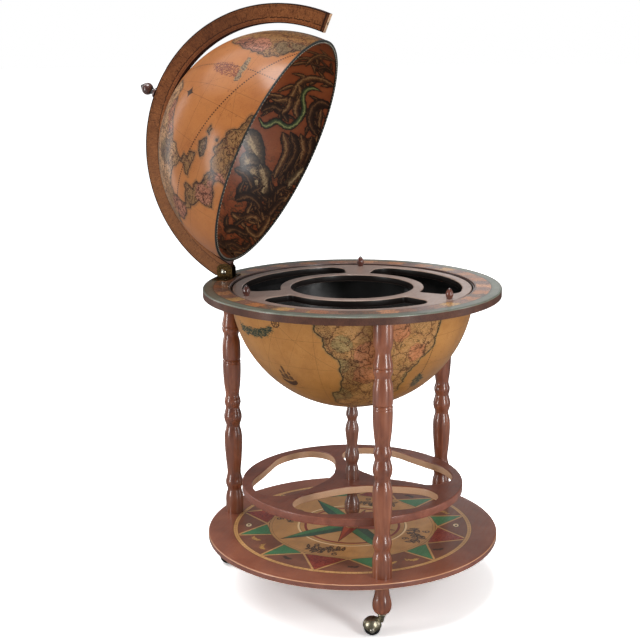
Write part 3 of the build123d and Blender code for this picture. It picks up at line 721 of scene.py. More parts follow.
# --------------------------------------------------------------- shelf print
def shelf_material():
    s = Shade("shelf_print_varnish", roughness=0.36, coat=0.45, coat_rough=0.2)
    p = s.pos()
    x, y, z = s.xyz(p)
    r = s.vm("LENGTH", s.vec(x, y, 0.0))
    ang = s.mul(s.m("ARCTAN2", y, x), 180 / math.pi)
    a = s.noise(p, 0.02, 4.0, 0.55, 0.4)
    f = s.noise(p, 0.5, 3.0, 0.6)
    g = s.noise(s.vec(s.mul(x, 0.12), y, z), 0.18, 4.0, 0.6, 0.5)
    tone = s.add(s.mul(a, 0.55), s.mul(f, 0.2), s.mul(g, 0.25))
    border = s.ramp(tone, [(0.36, "79432f"), (0.52, "884e38"), (0.7, "965c42")])
    ochre = s.ramp(tone, [(0.36, "b5844f"), (0.52, "ca985f"), (0.7, "dba870")])
    field = s.ramp(tone, [(0.36, "6b402f"), (0.52, "7d4d39"), (0.7, "905b43")])
    tan = s.ramp(tone, [(0.36, "b17f4c"), (0.52, "c8935a"), (0.7, "d7a369")])
    green = s.ramp(s.add(s.mul(f, 0.6), s.mul(a, 0.4)), [(0.35, "336945"), (0.52, "438053"), (0.7, "559263")])
    deep = s.ramp(s.add(s.mul(f, 0.6), s.mul(a, 0.4)), [(0.35, "254938"), (0.6, "325f4a")])
    w = s.noise(s.vec(s.mul(x, 0.6), s.mul(y, 0.6), 0.0), 0.16, 4.0, 0.65, 2.4)
    red = s.ramp(w, [(0.36, "67211d"), (0.5, "8b3126"), (0.56, "a84a33"), (0.66, "792821")])
    star = s.ramp(tone, [(0.36, "9d432a"), (0.6, "bc5436")])
    c = s.mix(s.under(r, 254.5), border, ochre)
    c = s.mix(s.under(r, 245.0), c, field)
    # points of the rose between the medallion and the outer ring
    dg, dr = s.attr("green"), s.attr("red")
    outer = s.mul(s.under(r, 247.0), s.step(r, 176.5, 177.5))
    c = s.mix(s.mul(outer, s.under(s.m("MINIMUM", dg, dr), 2.0, 0.5)), c, ochre)
    c = s.mix(s.mul(outer, s.under(dg, -2.4, 0.4)), c, green)
    c = s.mix(s.mul(outer, s.under(dr, -2.4, 0.4)), c, red)
    rim = s.mul(outer, s.m("MAXIMUM", s.line(s.add(dg, 2.6), 0.5), s.line(s.add(dr, 2.6), 0.5)))
    c = s.mix(s.mul(rim, 0.6), c, "43261d")
    # tick marks and thin lines on the ochre ring
    tick = s.line(s.m("SUBTRACT", s.m("PINGPONG", ang, 1.25), 0.0), 0.10, 0.05)
    c = s.mix(s.mul(tick, s.between(r, 246.6, 252.9, 0.3), 0.7), c, "694326")
    for rad, half, k in ((245.0, 0.55, 0.8), (254.4, 0.6, 0.85), (250.0, 0.3, 0.45)):
        c = s.mix(s.mul(s.line(r, half, 0.3, at=rad), k), c, "55311f")
    # medallion
    c = s.mix(s.under(r, 178.0), c, ochre)
    c = s.mix(s.under(r, 172.0), c, tan)
    for rad, half, k in ((178.0, 0.6, 0.85), (172.2, 0.5, 0.7), (175.2, 0.35, 0.5)):
        c = s.mix(s.mul(s.line(r, half, 0.3, at=rad), k), c, "55311f")
    c = s.mix(s.between(r, 112.6, 117.4, 0.4), c, "f5d29d")
    c = s.mix(s.line(r, 0.5, 0.3, at=112.4), c, "552a1d")
    c = s.mix(s.between(r, 97.5, 103.0, 0.5), c, "8b3328")
    c = s.mix(s.under(r, 97.0, 0.5), c, s.ramp(tone, [(0.36, "c08d55"), (0.6, "d7a56e")]))
    da, db, dstar = s.attr("arrow_lit"), s.attr("arrow_deep"), s.attr("star")
    arrows = s.m("MINIMUM", da, db)
    c = s.mix(s.under(arrows, 0.9), c, "31261d")
    c = s.mix(s.under(da, -0.2), c, green)
    c = s.mix(s.under(db, -0.2), c, deep)
    c = s.mix(s.under(dstar, 0.9), c, "431f16")
    c = s.mix(s.under(dstar, -0.6), c, star)
    c = s.mix(s.mul(s.under(dstar, -0.6), s.under(s.attr("star_dark"), 0.0)), c, "8d3726")
    c = s.mix(s.under(r, 17.5, 0.4), c, "43261d")
    c = s.mix(s.under(r, 16.6, 0.4), c, "e2af69")
    # drawn ornaments: gold in the dark sectors, cream ovals, dark sprays on the medallion
    gold, cream, ink = s.attr("gold"), s.attr("cream"), s.attr("ink")
    c = s.mix(s.mul(s.under(gold, 0.5, 0.45), 0.9), c, s.mix(s.step(f, 0.4, 0.62), "d2a357", "a1723c"))
    c = s.mix(s.under(cream, 1.5, 0.45), c, "3b2921")
    c = s.mix(s.under(cream, 0.4, 0.45), c, "e9cc9f")
    c = s.mix(s.under(s.attr("eye"), 0.2, 0.45), c, "553c33")
    c = s.mix(s.under(s.attr("eye"), -1.3, 0.4), c, "e9cc9f")
    shade = s.step(s.noise(p, 0.8, 3.0, 0.7), 0.44, 0.56)
    c = s.mix(s.mul(s.under(ink, 0.0, 0.5), s.add(s.mul(shade, 0.5), 0.32)), c, "463121")
    c = s.mix(s.mul(s.line(ink, 0.75, 0.4), 0.92), c, "2a1f18")
    thin = s.mul(s.line(s.attr("stem"), 0.85, 0.35), s.under(s.attr("stem_near"), 2.6, 0.5))
    c = s.mix(s.mul(thin, 0.92), c, "2a1f18")
    # the sides stay plain, and the softened top and bottom edges carry a pale painted highlight
    side = s.under(z, 121.9, 0.25)
    edge_glint = s.mul(s.m("MAXIMUM", s.between(z, 120.9, 122.2, 0.3), s.between(z, 110.6, 111.9, 0.3)), s.step(r, 304.8, 305.4))
    c = s.mix(side, c, s.ramp(tone, [(0.36, "693a2f"), (0.6, "7b4a3b"), (0.72, "8a5746")]))
    # painted highlight on the rounded edges
    c = s.mix(s.mul(edge_glint, 0.62), c, "d29d70")
    c = s.mix(s.mul(s.under(s.noise(p, 0.35, 5.0, 0.7), 0.33, 0.02), 0.10), c, "311b12")
    s.colour(c)
    s.rough(s.step(g, 0.3, 0.75, 0.30, 0.44))
    s.bump(s.add(s.mul(g, 0.4), s.mul(f, 0.2)), 0.10, 0.0004)
    return s.mat


def ray_tri(tip, c1, c2):
    return np.array([polar(tip[0], tip[1]), polar(c1[0], c1[1]), polar(c2[0], c2[1])])


def curl(cx, cy, r0, turns, start, hand=1, n=26, shrink=0.78):
    """A small spiral as an open line."""
    t = np.linspace(0, 1, n)
    a = math.radians(start) + hand * 2 * np.pi * turns * t
    r = r0 * (1 - shrink * t)
    return np.stack([cx + r * np.cos(a), cy + r * np.sin(a)], 1)


def leaf(x, y, length, width, turn, n=14):
    """A pointed leaf as a closed outline."""
    t = np.linspace(0, 1, n)
    w = width * np.sin(np.pi * t**0.8) * (1 - 0.25 * t)
    up = np.stack([t * length, w], 1)
    lo = np.stack([t[::-1] * length, -w[::-1]], 1)[1:-1]
    p = np.vstack([up, lo])
    c, s_ = math.cos(math.radians(turn)), math.sin(math.radians(turn))
    return np.stack([x + p[:, 0] * c - p[:, 1] * s_, y + p[:, 0] * s_ + p[:, 1] * c], 1)


def place(shape, r, az, turn=0.0):
    """Moves a small shape drawn at the origin, its +Y outwards, to a place on the print."""
    a = math.radians(az - 90 + turn)
    c, s_ = math.cos(a), math.sin(a)
    x, y = polar(r, az)
    q = np.asarray(shape)
    return np.stack([x + q[:, 0] * c - q[:, 1] * s_, y + q[:, 0] * s_ + q[:, 1] * c], 1)


def spray(seed):
    """A leafy scroll about 72 mm wide: leaves as outlines, stems and tendrils as lines."""
    g = np.random.default_rng(seed)
    t = np.linspace(-1, 1, 46)
    bend = g.uniform(-0.5, 0.5)
    stem = np.stack([33 * t, 6.5 * np.sin(2.9 * t + bend) + 3.0 * t], 1)
    leaves, lines = [], [stem]
    for k, u in enumerate(np.linspace(-0.92, 0.98, 15)):
        i = int((u + 1) / 2 * 45)
        x, y = stem[i]
        d = stem[min(i + 1, 45)] - stem[max(i - 1, 0)]
        base = math.degrees(math.atan2(d[1], d[0]))
        side = 1 if k % 2 else -1
        leaves.append(leaf(x, y, g.uniform(9, 16), g.uniform(2.4, 3.8), base + side * g.uniform(34, 74)))
    lines.append(curl(-25, 11.5, 6.4, 1.2, -80, 1))
    lines.append(curl(23, -11.0, 6.0, 1.2, 100, 1))
    lines.append(curl(4, 13.5, 5.2, 1.1, -110, -1))
    lines.append(curl(-7, -13.0, 5.0, 1.1, 70, -1))
    return leaves, lines


def sprig(seed):
    """A small gilt twig about 26 mm long, all leaves."""
    g = np.random.default_rng(seed)
    t = np.linspace(0, 1, 20)
    turn = g.uniform(-20, 20)
    c, s_ = math.cos(math.radians(turn)), math.sin(math.radians(turn))
    stem = np.stack([26 * t - 13, 3.4 * np.sin(3.6 * t)], 1) @ np.array([[c, s_], [-s_, c]])
    out = [np.vstack([stem + (0, 0.7), stem[::-1] - (0, 0.7)])]
    for k, u in enumerate(np.linspace(0.06, 0.96, 9)):
        i = int(u * 19)
        d = stem[min(i + 1, 19)] - stem[max(i - 1, 0)]
        base = math.degrees(math.atan2(d[1], d[0]))
        out.append(leaf(stem[i][0], stem[i][1], g.uniform(5.0, 7.6), g.uniform(1.2, 1.8), base + (44 if k % 2 else -44) + g.uniform(-8, 8)))
    return out


radii = np.unique(np.r_[np.arange(4.2, 90, 2.6), np.arange(90, 174, 1.9), np.arange(174, 257, 2.2), 262, 272, 285, 297, 304.8])
fil = [(307 - 2.2 + 2.2 * math.sin(a), 122.5 - 2.2 + 2.2 * math.cos(a)) for a in np.radians([18, 36, 54, 72, 90])]
fil2 = [(307 - 2.2 + 2.2 * math.cos(a), 110.5 + 2.2 - 2.2 * math.sin(a)) for a in np.radians([0, 18, 36, 54, 72, 90])]
prof = [(r, 122.5) for r in radii] + fil + fil2 + [(290, 110.5), (240, 110.5), (150, 110.5), (60, 110.5), (11, 110.5), (11, 117.0), (4.2, 117.0)]
v, q, t = lathe(np.array(prof)[::-1], 560, closed=True)
me = mesh_from("shelf_printed", v, q, t)
xy = v[:, :2]
top = v[:, 2] > 122.49
field_xy = xy[top]


def on_top(name, values, away=60.0):
    full = np.full(len(v), away)
    full[top] = values
    floats(me, name, full)


reds, greens, lit, deep_, stars, stars_dark = [], [], [], [], [], []
golds, creams, eyes, inks, stems = [], [], [], [], []
for c in (0, 90, 180, 270):
    reds.append(ray_tri((251, c), (182, c - 15.4), (182, c + 15.4)))
    for sgn in (-1, 1):
        greens.append(ray_tri((251, c + sgn * 31), (182, c + sgn * 15.0), (175, c + sgn * 35.5)))
        if sgn == 1 and c in (90, 270):
            creams.append(place(np.stack([8.4 * np.cos(np.linspace(0, 2 * np.pi, 24, False)), 5.4 * np.sin(np.linspace(0, 2 * np.pi, 24, False))], 1), 222, c + 18))
            eyes.append(place(np.stack([4.2 * np.cos(np.linspace(0, 2 * np.pi, 20, False)) + 0.8, 2.4 * np.sin(np.linspace(0, 2 * np.pi, 20, False))], 1), 222, c + 18))
        else:
            inks += [place(l_ * 0.8, 219, c + sgn * 18.5, 10 * sgn) for l_ in sprig(120 + c + sgn)]
    a = c + 45
    lit.append(np.array([(0, 0), polar(30, a - 38), polar(104, a - 8.5), polar(168, a)]))
    deep_.append(np.array([(0, 0), polar(30, a + 38), polar(104, a + 8.5), polar(168, a)]))
    stars.append(np.array([(0, 0), polar(21, c - 45), polar(95, c), polar(21, c + 45)]))
    stars_dark.append(np.array([(0, 0), polar(95, c), polar(21, c + 45)]))
    for k_, off in enumerate((-6.2, 6.2)):
        golds += [place(l_, 214 + 5 * k_, a + off, 20 * (1 - 2 * k_)) for l_ in sprig(70 + c + k_)]
    lv, ln = spray(30 + c)
    inks += [place(np.asarray(l_) * (1.12, 1.3), 144, c - 5) for l_ in lv]
    stems += [place(np.asarray(l_) * (1.12, 1.3), 144, c - 5) for l_ in ln]

on_top("red", union(*[poly_sdf(field_xy, p_) for p_ in reds]))
on_top("green", union(*[poly_sdf(field_xy, p_) for p_ in greens]))
on_top("arrow_lit", union(*[poly_sdf(field_xy, p_) for p_ in lit]))
on_top("arrow_deep", union(*[poly_sdf(field_xy, p_) for p_ in deep_]))
on_top("star", union(*[poly_sdf(field_xy, p_) for p_ in stars]))
on_top("star_dark", union(*[poly_sdf(field_xy, p_) for p_ in stars_dark]))
on_top("cream", union(*[poly_sdf(field_xy, p_, 12) for p_ in creams]))
on_top("eye", union(*[poly_sdf(field_xy, p_, 12) for p_ in eyes]))
on_top("ink", union(*[poly_sdf(field_xy, p_, 12) for p_ in inks]))
on_top("gold", union(*[poly_sdf(field_xy, p_, 12) for p_ in golds]))
sg, pl = stroke_fields(field_xy, stems, 12)
on_top("stem", sg)
on_top("stem_near", pl)
smooth(me, 32)
piece("shelf_printed", me, "stand", shelf_material(), ("base_shelf",))


# ---------------------------------------------------------------- ring print
def ring_material():
    s = Shade("ring_print_varnish", roughness=0.36, coat=0.5, coat_rough=0.18)
    p = s.pos()
    x, y, z = s.xyz(p)
    r = s.vm("LENGTH", s.vec(x, y, 0.0))
    ang = s.add(s.mul(s.m("ARCTAN2", y, x), 180 / math.pi), 180.0)
    a = s.noise(p, 0.03, 4.0, 0.55, 0.4)
    f = s.noise(p, 0.45, 4.0, 0.6)
    tone = s.add(s.mul(a, 0.5), s.mul(f, 0.5))
    band = s.ramp(tone, [(0.34, "4c5348"), (0.5, "5e6458"), (0.66, "717467")])
    band = s.mix(s.mul(s.step(s.noise(p, 0.12, 4.0, 0.65), 0.5, 0.62), 0.4), band, "6b554a")
    # one row of uneven printed cells with ragged sides
    wob = s.mul(s.m("SUBTRACT", s.noise(s.vec(x, y, 0.0), 0.045, 5.0, 0.7), 0.5), 15.0)
    turn = s.add(ang, wob)
    cell = s.mul(turn, 1 / 7.2)
    idx = s.m("FLOOR", cell)
    pick = s.white(idx)
    light = s.ramp(s.white(s.add(idx, 37.0)), [(0.0, "c88b60"), (0.25, "b1703f"), (0.5, "bf9257"), (0.75, "a36745")], hard=True)
    deep = s.ramp(s.white(s.add(idx, 91.0)), [(0.0, "694e4a"), (0.3, "7a5548"), (0.6, "574338"), (0.8, "845c45")], hard=True)
    odd = s.m("MODULO", idx, 2.0)
    tint = s.mix(odd, light, deep)
    tint = s.mix(s.step(pick, 0.80, 0.81), tint, deep)
    blot = s.step(s.noise(p, 0.13, 4.0, 0.65, 0.8), 0.47, 0.56)
    tint = s.mix(s.mul(blot, 0.45), tint, s.mix(odd, "8b5a41", "af7b55"))
    tint = s.mix(s.mul(s.step(f, 0.5, 0.66), 0.35), tint, "5b3d31")
    printed = s.between(r, 253.6, 284.6, 0.5)
    c = s.mix(printed, band, tint)
    c = s.mix(s.under(r, 253.6, 0.4), c, s.ramp(tone, [(0.35, "6c524a"), (0.65, "88665b")]))
    frac = s.m("FRACT", cell)
    edge = s.m("MINIMUM", frac, s.m("SUBTRACT", 1.0, frac))
    edge_mm = s.mul(edge, 7.2 * math.pi / 180, r)
    c = s.mix(s.mul(s.under(edge_mm, 0.75, 0.4), printed, 0.75), c, "362720")
    for rad, half, k in ((253.6, 0.9, 0.9), (284.8, 1.0, 0.92), (287.6, 0.4, 0.55), (301.6, 0.6, 0.5)):
        c = s.mix(s.mul(s.line(r, half, 0.35, at=rad), k), c, "2d261e")
    squig = s.line(s.m("SUBTRACT", s.noise(s.vec(x, y, 0.0), 0.11, 3.0, 0.6, 1.6), 0.5), 0.018, 0.012)
    inner = s.between(r, 256.0, 282.5, 0.5)
    c = s.mix(s.mul(squig, inner, 0.8), c, "3b281f")
    hatch = s.line(s.m("PINGPONG", s.add(s.mul(ang, 4.3), s.mul(a, 8.0)), 1.6), 0.4, 0.3)
    c = s.mix(s.mul(hatch, inner, s.step(s.noise(p, 0.07, 2.0, 0.5), 0.5, 0.56), 0.45), c, "3b281f")
    c = s.mix(s.mul(s.step(s.noise(p, 0.8, 4.0, 0.75), 0.60, 0.68), 0.35), c, "362d26")
    side = s.mul(s.under(z, 645.3, 0.25), s.step(r, 300.0, 301.0))
    dark = s.ramp(tone, [(0.34, "3d2720"), (0.52, "503227"), (0.7, "614030")])
    c = s.mix(side, c, dark)
    # painted highlight: a pale line along the outer side just under the rounded top edge
    c = s.mix(s.mul(s.between(z, 645.15, 645.85, 0.2), s.step(r, 305.0, 305.6), 0.35), c, "8f8068")
    # painted shade: the bore wall and its rabbet step are painted dark brown for the shaded gap beside the board
    bore = s.mul(s.under(z, 646.6, 0.3), s.under(r, 251.5, 0.3))
    c = s.mix(bore, c, "32221e")
    c = s.mix(s.mul(s.under(z, 632.0, 0.3), s.step(r, 247.0, 248.0)), c, dark)
    s.colour(c)
    s.put(s.bsdf.inputs["Coat Weight"], s.step(side, 0.0, 1.0, 0.42, 0.06))
    s.put(s.bsdf.inputs["Specular IOR Level"], s.step(side, 0.0, 1.0, 0.5, 0.22))
    s.rough(s.add(s.step(f, 0.3, 0.75, 0.30, 0.44), s.mul(side, 0.14)))
    s.bump(s.add(s.mul(a, 0.5), s.mul(f, 0.2)), 0.08, 0.0004)
    return s.mat


fil = [(306 - 2.6 + 2.6 * math.sin(a), 648 - 2.6 + 2.6 * math.cos(a)) for a in np.radians([0, 15, 30, 45, 60, 75, 90])]
fin = [(251 + 0.8 - 0.8 * math.cos(a), 648 - 0.8 + 0.8 * math.sin(a)) for a in np.radians([0, 30, 60, 90])]
prof = [(248, 631.0), (248, 645.4), (251, 645.4)] + fin + [(r, 648) for r in np.arange(254, 303, 3.2)] + fil + [(306, 640), (306, 631.6), (305.4, 631.0), (280, 631.0)]
v, q, t = lathe(np.array(prof)[::-1], 720, closed=True)
me = mesh_from("ring_printed", v, q, t)
smooth(me, 32)
piece("ring_printed", me, "stand", ring_material(), ("horizon_ring",))

# ------------------------------------------------------------ rack and board
RACK_OPENING = [(197, 0), (199, 8), (204, 14), (209.5, 20), (213, 27), (214.5, 34), (213, 40), (208, 45),
                (198, 49.3), (185, 52.5), (168, 55), (150, 56), (130, 55.2), (111, 53), (94, 49.5),
                (78, 44.5), (65, 37), (55, 28), (49.5, 17), (47.5, 0)]
RACK_OPENING = RACK_OPENING + [(r, -a) for r, a in RACK_OPENING[-2:0:-1]]
outl = [circle(233.6, 360)]
for az in LEG_AZ.values():
    outl.append(periodic([polar(r, az + a) for r, a in RACK_OPENING], 260))
outl.append(circle(4.4, 32))
me = plate("rack_shaped", outl, 211.2, 228.2, 1.9)
RACK_MAT = board_mat("rack_stain", "693829", "7e4532", "90543f", cut=(226.4, 212.2, 228.0, "d2ab88", "b48a6c"))
piece("rack_shaped", me, "stand", RACK_MAT, ("bottle_rack",))


def slot_outline(az, ri=147.0, ro=225.5, half=50.5, fo=33.0, fi=12.0, n=22):
    """Curved slot with rounded corners between two radii."""
    th = math.radians(half)
    pts = []
    rc = ro - fo
    ac = th - math.asin(fo / rc)
    rc2 = ri + fi
    ac2 = th - math.asin(fi / rc2)

    def fillet(rc_, ac_, f_, a0, a1, sgn):
        cx, cy = rc_ * math.cos(sgn * ac_), rc_ * math.sin(sgn * ac_)
        return [(cx + f_ * math.cos(a), cy + f_ * math.sin(a)) for a in np.linspace(a0, a1, n)]

    for a in np.linspace(-ac, ac, 70)[1:-1]:
        pts.append((ro * math.cos(a), ro * math.sin(a)))
    pts += fillet(rc, ac, fo, ac, th + math.pi / 2, 1)
    # the end of the slot runs radially inwards to the inner corner
    pts += fillet(rc2, ac2, fi, th + math.pi / 2, ac2 + math.pi, 1)
    for a in np.linspace(ac2, -ac2, 60)[1:-1]:
        pts.append((ri * math.cos(a), ri * math.sin(a)))
    pts += fillet(rc2, ac2, fi, -ac2 - math.pi, -th - math.pi / 2, -1)
    pts += fillet(rc, ac, fo, -th - math.pi / 2, -ac, -1)
    p_ = np.array(pts)
    a = math.radians(az)
    return np.stack([p_[:, 0] * math.cos(a) - p_[:, 1] * math.sin(a), p_[:, 0] * math.sin(a) + p_[:, 1] * math.cos(a)], 1)


outl = [circle(245.2, 360), circle(126.0, 240)] + [slot_outline(73 + 120 * i) for i in range(3)]
me = plate("board_shaped", outl, 631.2, 645.4, 1.6)
# the board's slot and hole walls are near-black painted shade, and its rounded top edge band is a painted highlight
BOARD_MAT = board_mat("board_lacquer", "836b61", "957c70", "a58d80", roughness=0.34, coat=0.5, cut=(643.7, 631.9, 243.4, "15100e", "1f1714"), rim=(643.9, 644.9, "b8a090"))
piece("board_shaped", me, "insert", BOARD_MAT, ("insert_board",))


# --------------------------------------------------------------- meridian arc
ARC_RI, ARC_RO, END_R = 260.0, 299.2, 8.6


def arc_material():
    s = Shade("arc_print_varnish", roughness=0.58, coat=0.0, coat_rough=0.3, specular=0.06)
    q = s.shut()
    x, y, z = s.xyz(q)
    r = s.vm("LENGTH", s.vec(0.0, y, z))
    ang = s.mul(s.m("ARCTAN2", z, s.mul(y, -1.0)), 180 / math.pi)
    a = s.noise(q, 0.035, 4.0, 0.62, 0.6)
    f = s.noise(q, 0.55, 4.0, 0.7)
    tone = s.add(s.mul(a, 0.4), s.mul(f, 0.6))
    c = s.ramp(tone, [(0.36, "532f1c"), (0.48, "704226"), (0.58, "82502e"), (0.7, "915c39")])
    # dark freckles and short radial scratches of the printed scale
    c = s.mix(s.mul(s.step(s.noise(q, 0.9, 3.0, 0.7), 0.54, 0.62), 0.6), c, "3a2112")
    rad = s.noise(s.vec(s.mul(ang, 1.6), s.mul(r, 0.10), 0.0), 1.0, 3.0, 0.65)
    c = s.mix(s.mul(s.step(rad, 0.54, 0.61), 0.58), c, "341d0c")
    # a dark wavering line parts the inner third, which is a little redder
    wave = s.add(r, s.mul(s.m("SUBTRACT", s.noise(s.vec(0.0, s.mul(ang, 0.7), 0.0), 1.0, 3.0, 0.65), 0.5), 6.5))
    c = s.mix(s.mul(s.under(wave, 270.6, 0.5), 0.30), c, "91522f")
    gap = s.step(s.noise(s.vec(0.0, s.mul(ang, 0.35), 3.0), 1.0, 2.0, 0.5), 0.36, 0.42)
    c = s.mix(s.mul(s.line(wave, 1.05, 0.5, at=271.0), gap, 0.9), c, "261409")
    c = s.mix(s.mul(s.line(r, 0.5, 0.4, at=264.8), 0.65), c, "2e190d")
    c = s.mix(s.mul(s.line(r, 0.6, 0.4, at=293.6), 0.55), c, "2e190d")
    tick = s.line(s.m("PINGPONG", ang, 0.75), 0.10, 0.05)
    c = s.mix(s.mul(tick, s.between(r, 264.8, 268.2, 0.3), 0.6), c, "2e190d")
    cross = s.line(s.m("PINGPONG", s.add(ang, 4.0), 7.5), 0.13, 0.06)
    c = s.mix(s.mul(cross, s.between(r, 284.0, 293.6, 0.5), 0.6), c, "2e190d")
    # darker and browner over the crown, paler down the back
    c = s.mix(s.mul(s.between(ang, 36.0, 66.0, 16.0), 0.55), c, "3a2015")
    c = s.mix(s.step(ang, 72.0, 150.0, 0.0, 0.22), c, "a47a58")
    # the paper stops short of the edges, which are stained dark
    c = s.mix(s.m("MAXIMUM", s.step(r, 296.2, 297.0), s.under(r, 262.4, 0.4)), c, "27150e")
    face = s.step(s.m("ABSOLUTE", x), 7.2, 7.6)
    edge = s.ramp(tone, [(0.34, "28150c"), (0.6, "3b2014"), (0.76, "49291a")])
    c = s.mix(face, edge, c)
    # darker band by the free end, whose end grain is bare
    c = s.mix(s.mul(s.between(ang, 1.9, 2.7, 0.06), 0.95), c, "26140b")
    c = s.mix(s.mul(s.under(ang, 1.9, 0.1), 0.6), c, "361f16")
    endf = s.under(ang, 1.06, 0.03)
    grain = s.noise(s.vec(s.mul(x, 1.0), s.mul(r, 0.25), 0.0), 0.8, 4.0, 0.6)
    c = s.mix(s.mul(endf, s.step(z, -5.0, 0.0)), c, s.ramp(grain, [(0.35, "917056"), (0.55, "bc997a"), (0.75, "d2b193")]))
    peg = s.vm("LENGTH", s.vec(x, s.add(r, -279.6), 0.0))
    c = s.mix(s.mul(s.under(peg, 3.2, 0.2), endf), c, "130a06")
    s.colour(c)
    s.rough(s.step(f, 0.3, 0.75, 0.50, 0.64))
    s.bump(s.add(s.mul(f, 0.6), s.mul(a, 0.3)), 0.14, 0.0005)
    return s.mat


front = math.radians(1.0)
low = HINGE[1] - END_R - SPHERE_Z
hz = HINGE[1] - SPHERE_Z
inner_end = math.atan2(low, math.sqrt(ARC_RI**2 - low**2))
c_pt = np.array([HINGE[0] + END_R * math.sin(OPEN), hz - END_R * math.cos(OPEN)])
d_dir = np.array([math.cos(OPEN), math.sin(OPEN)])
hb = float(c_pt @ d_dir)
d_pt = c_pt + (-hb + math.sqrt(hb**2 - (c_pt @ c_pt - ARC_RO**2))) * d_dir
outer_end = math.atan2(d_pt[1], d_pt[0])
pts = []
for a in np.linspace(math.pi - front, inner_end, 220):
    pts.append((ARC_RI * math.cos(a), ARC_RI * math.sin(a)))
for a in np.linspace(-math.pi / 2, -math.pi / 2 + OPEN, 12):
    pts.append((HINGE[0] + END_R * math.cos(a), hz + END_R * math.sin(a)))
for a in np.linspace(outer_end, math.pi - front, 240):
    pts.append((ARC_RO * math.cos(a), ARC_RO * math.sin(a)))
hole = circle(5.0, 40, HINGE[0], hz)
me = plate("arc_shaped", [np.array(pts), hole], -8.0, 8.0, 1.2)
# the outline was drawn in the plane of the shut arc: first axis to the hinge, second up
co = np.zeros(len(me.vertices) * 3)
me.vertices.foreach_get("co", co)
co = co.reshape(-1, 3) / MM
me.vertices.foreach_set("co", (opened(np.stack([co[:, 2], co[:, 0], co[:, 1] + SPHERE_Z], 1)) * MM).ravel())
me.update()
piece("arc_shaped", me, "lid", arc_material(), ("meridian_arc",))
# angles every 12 degrees, not used
ang = np.radians(np.arange(0, 360, 12))


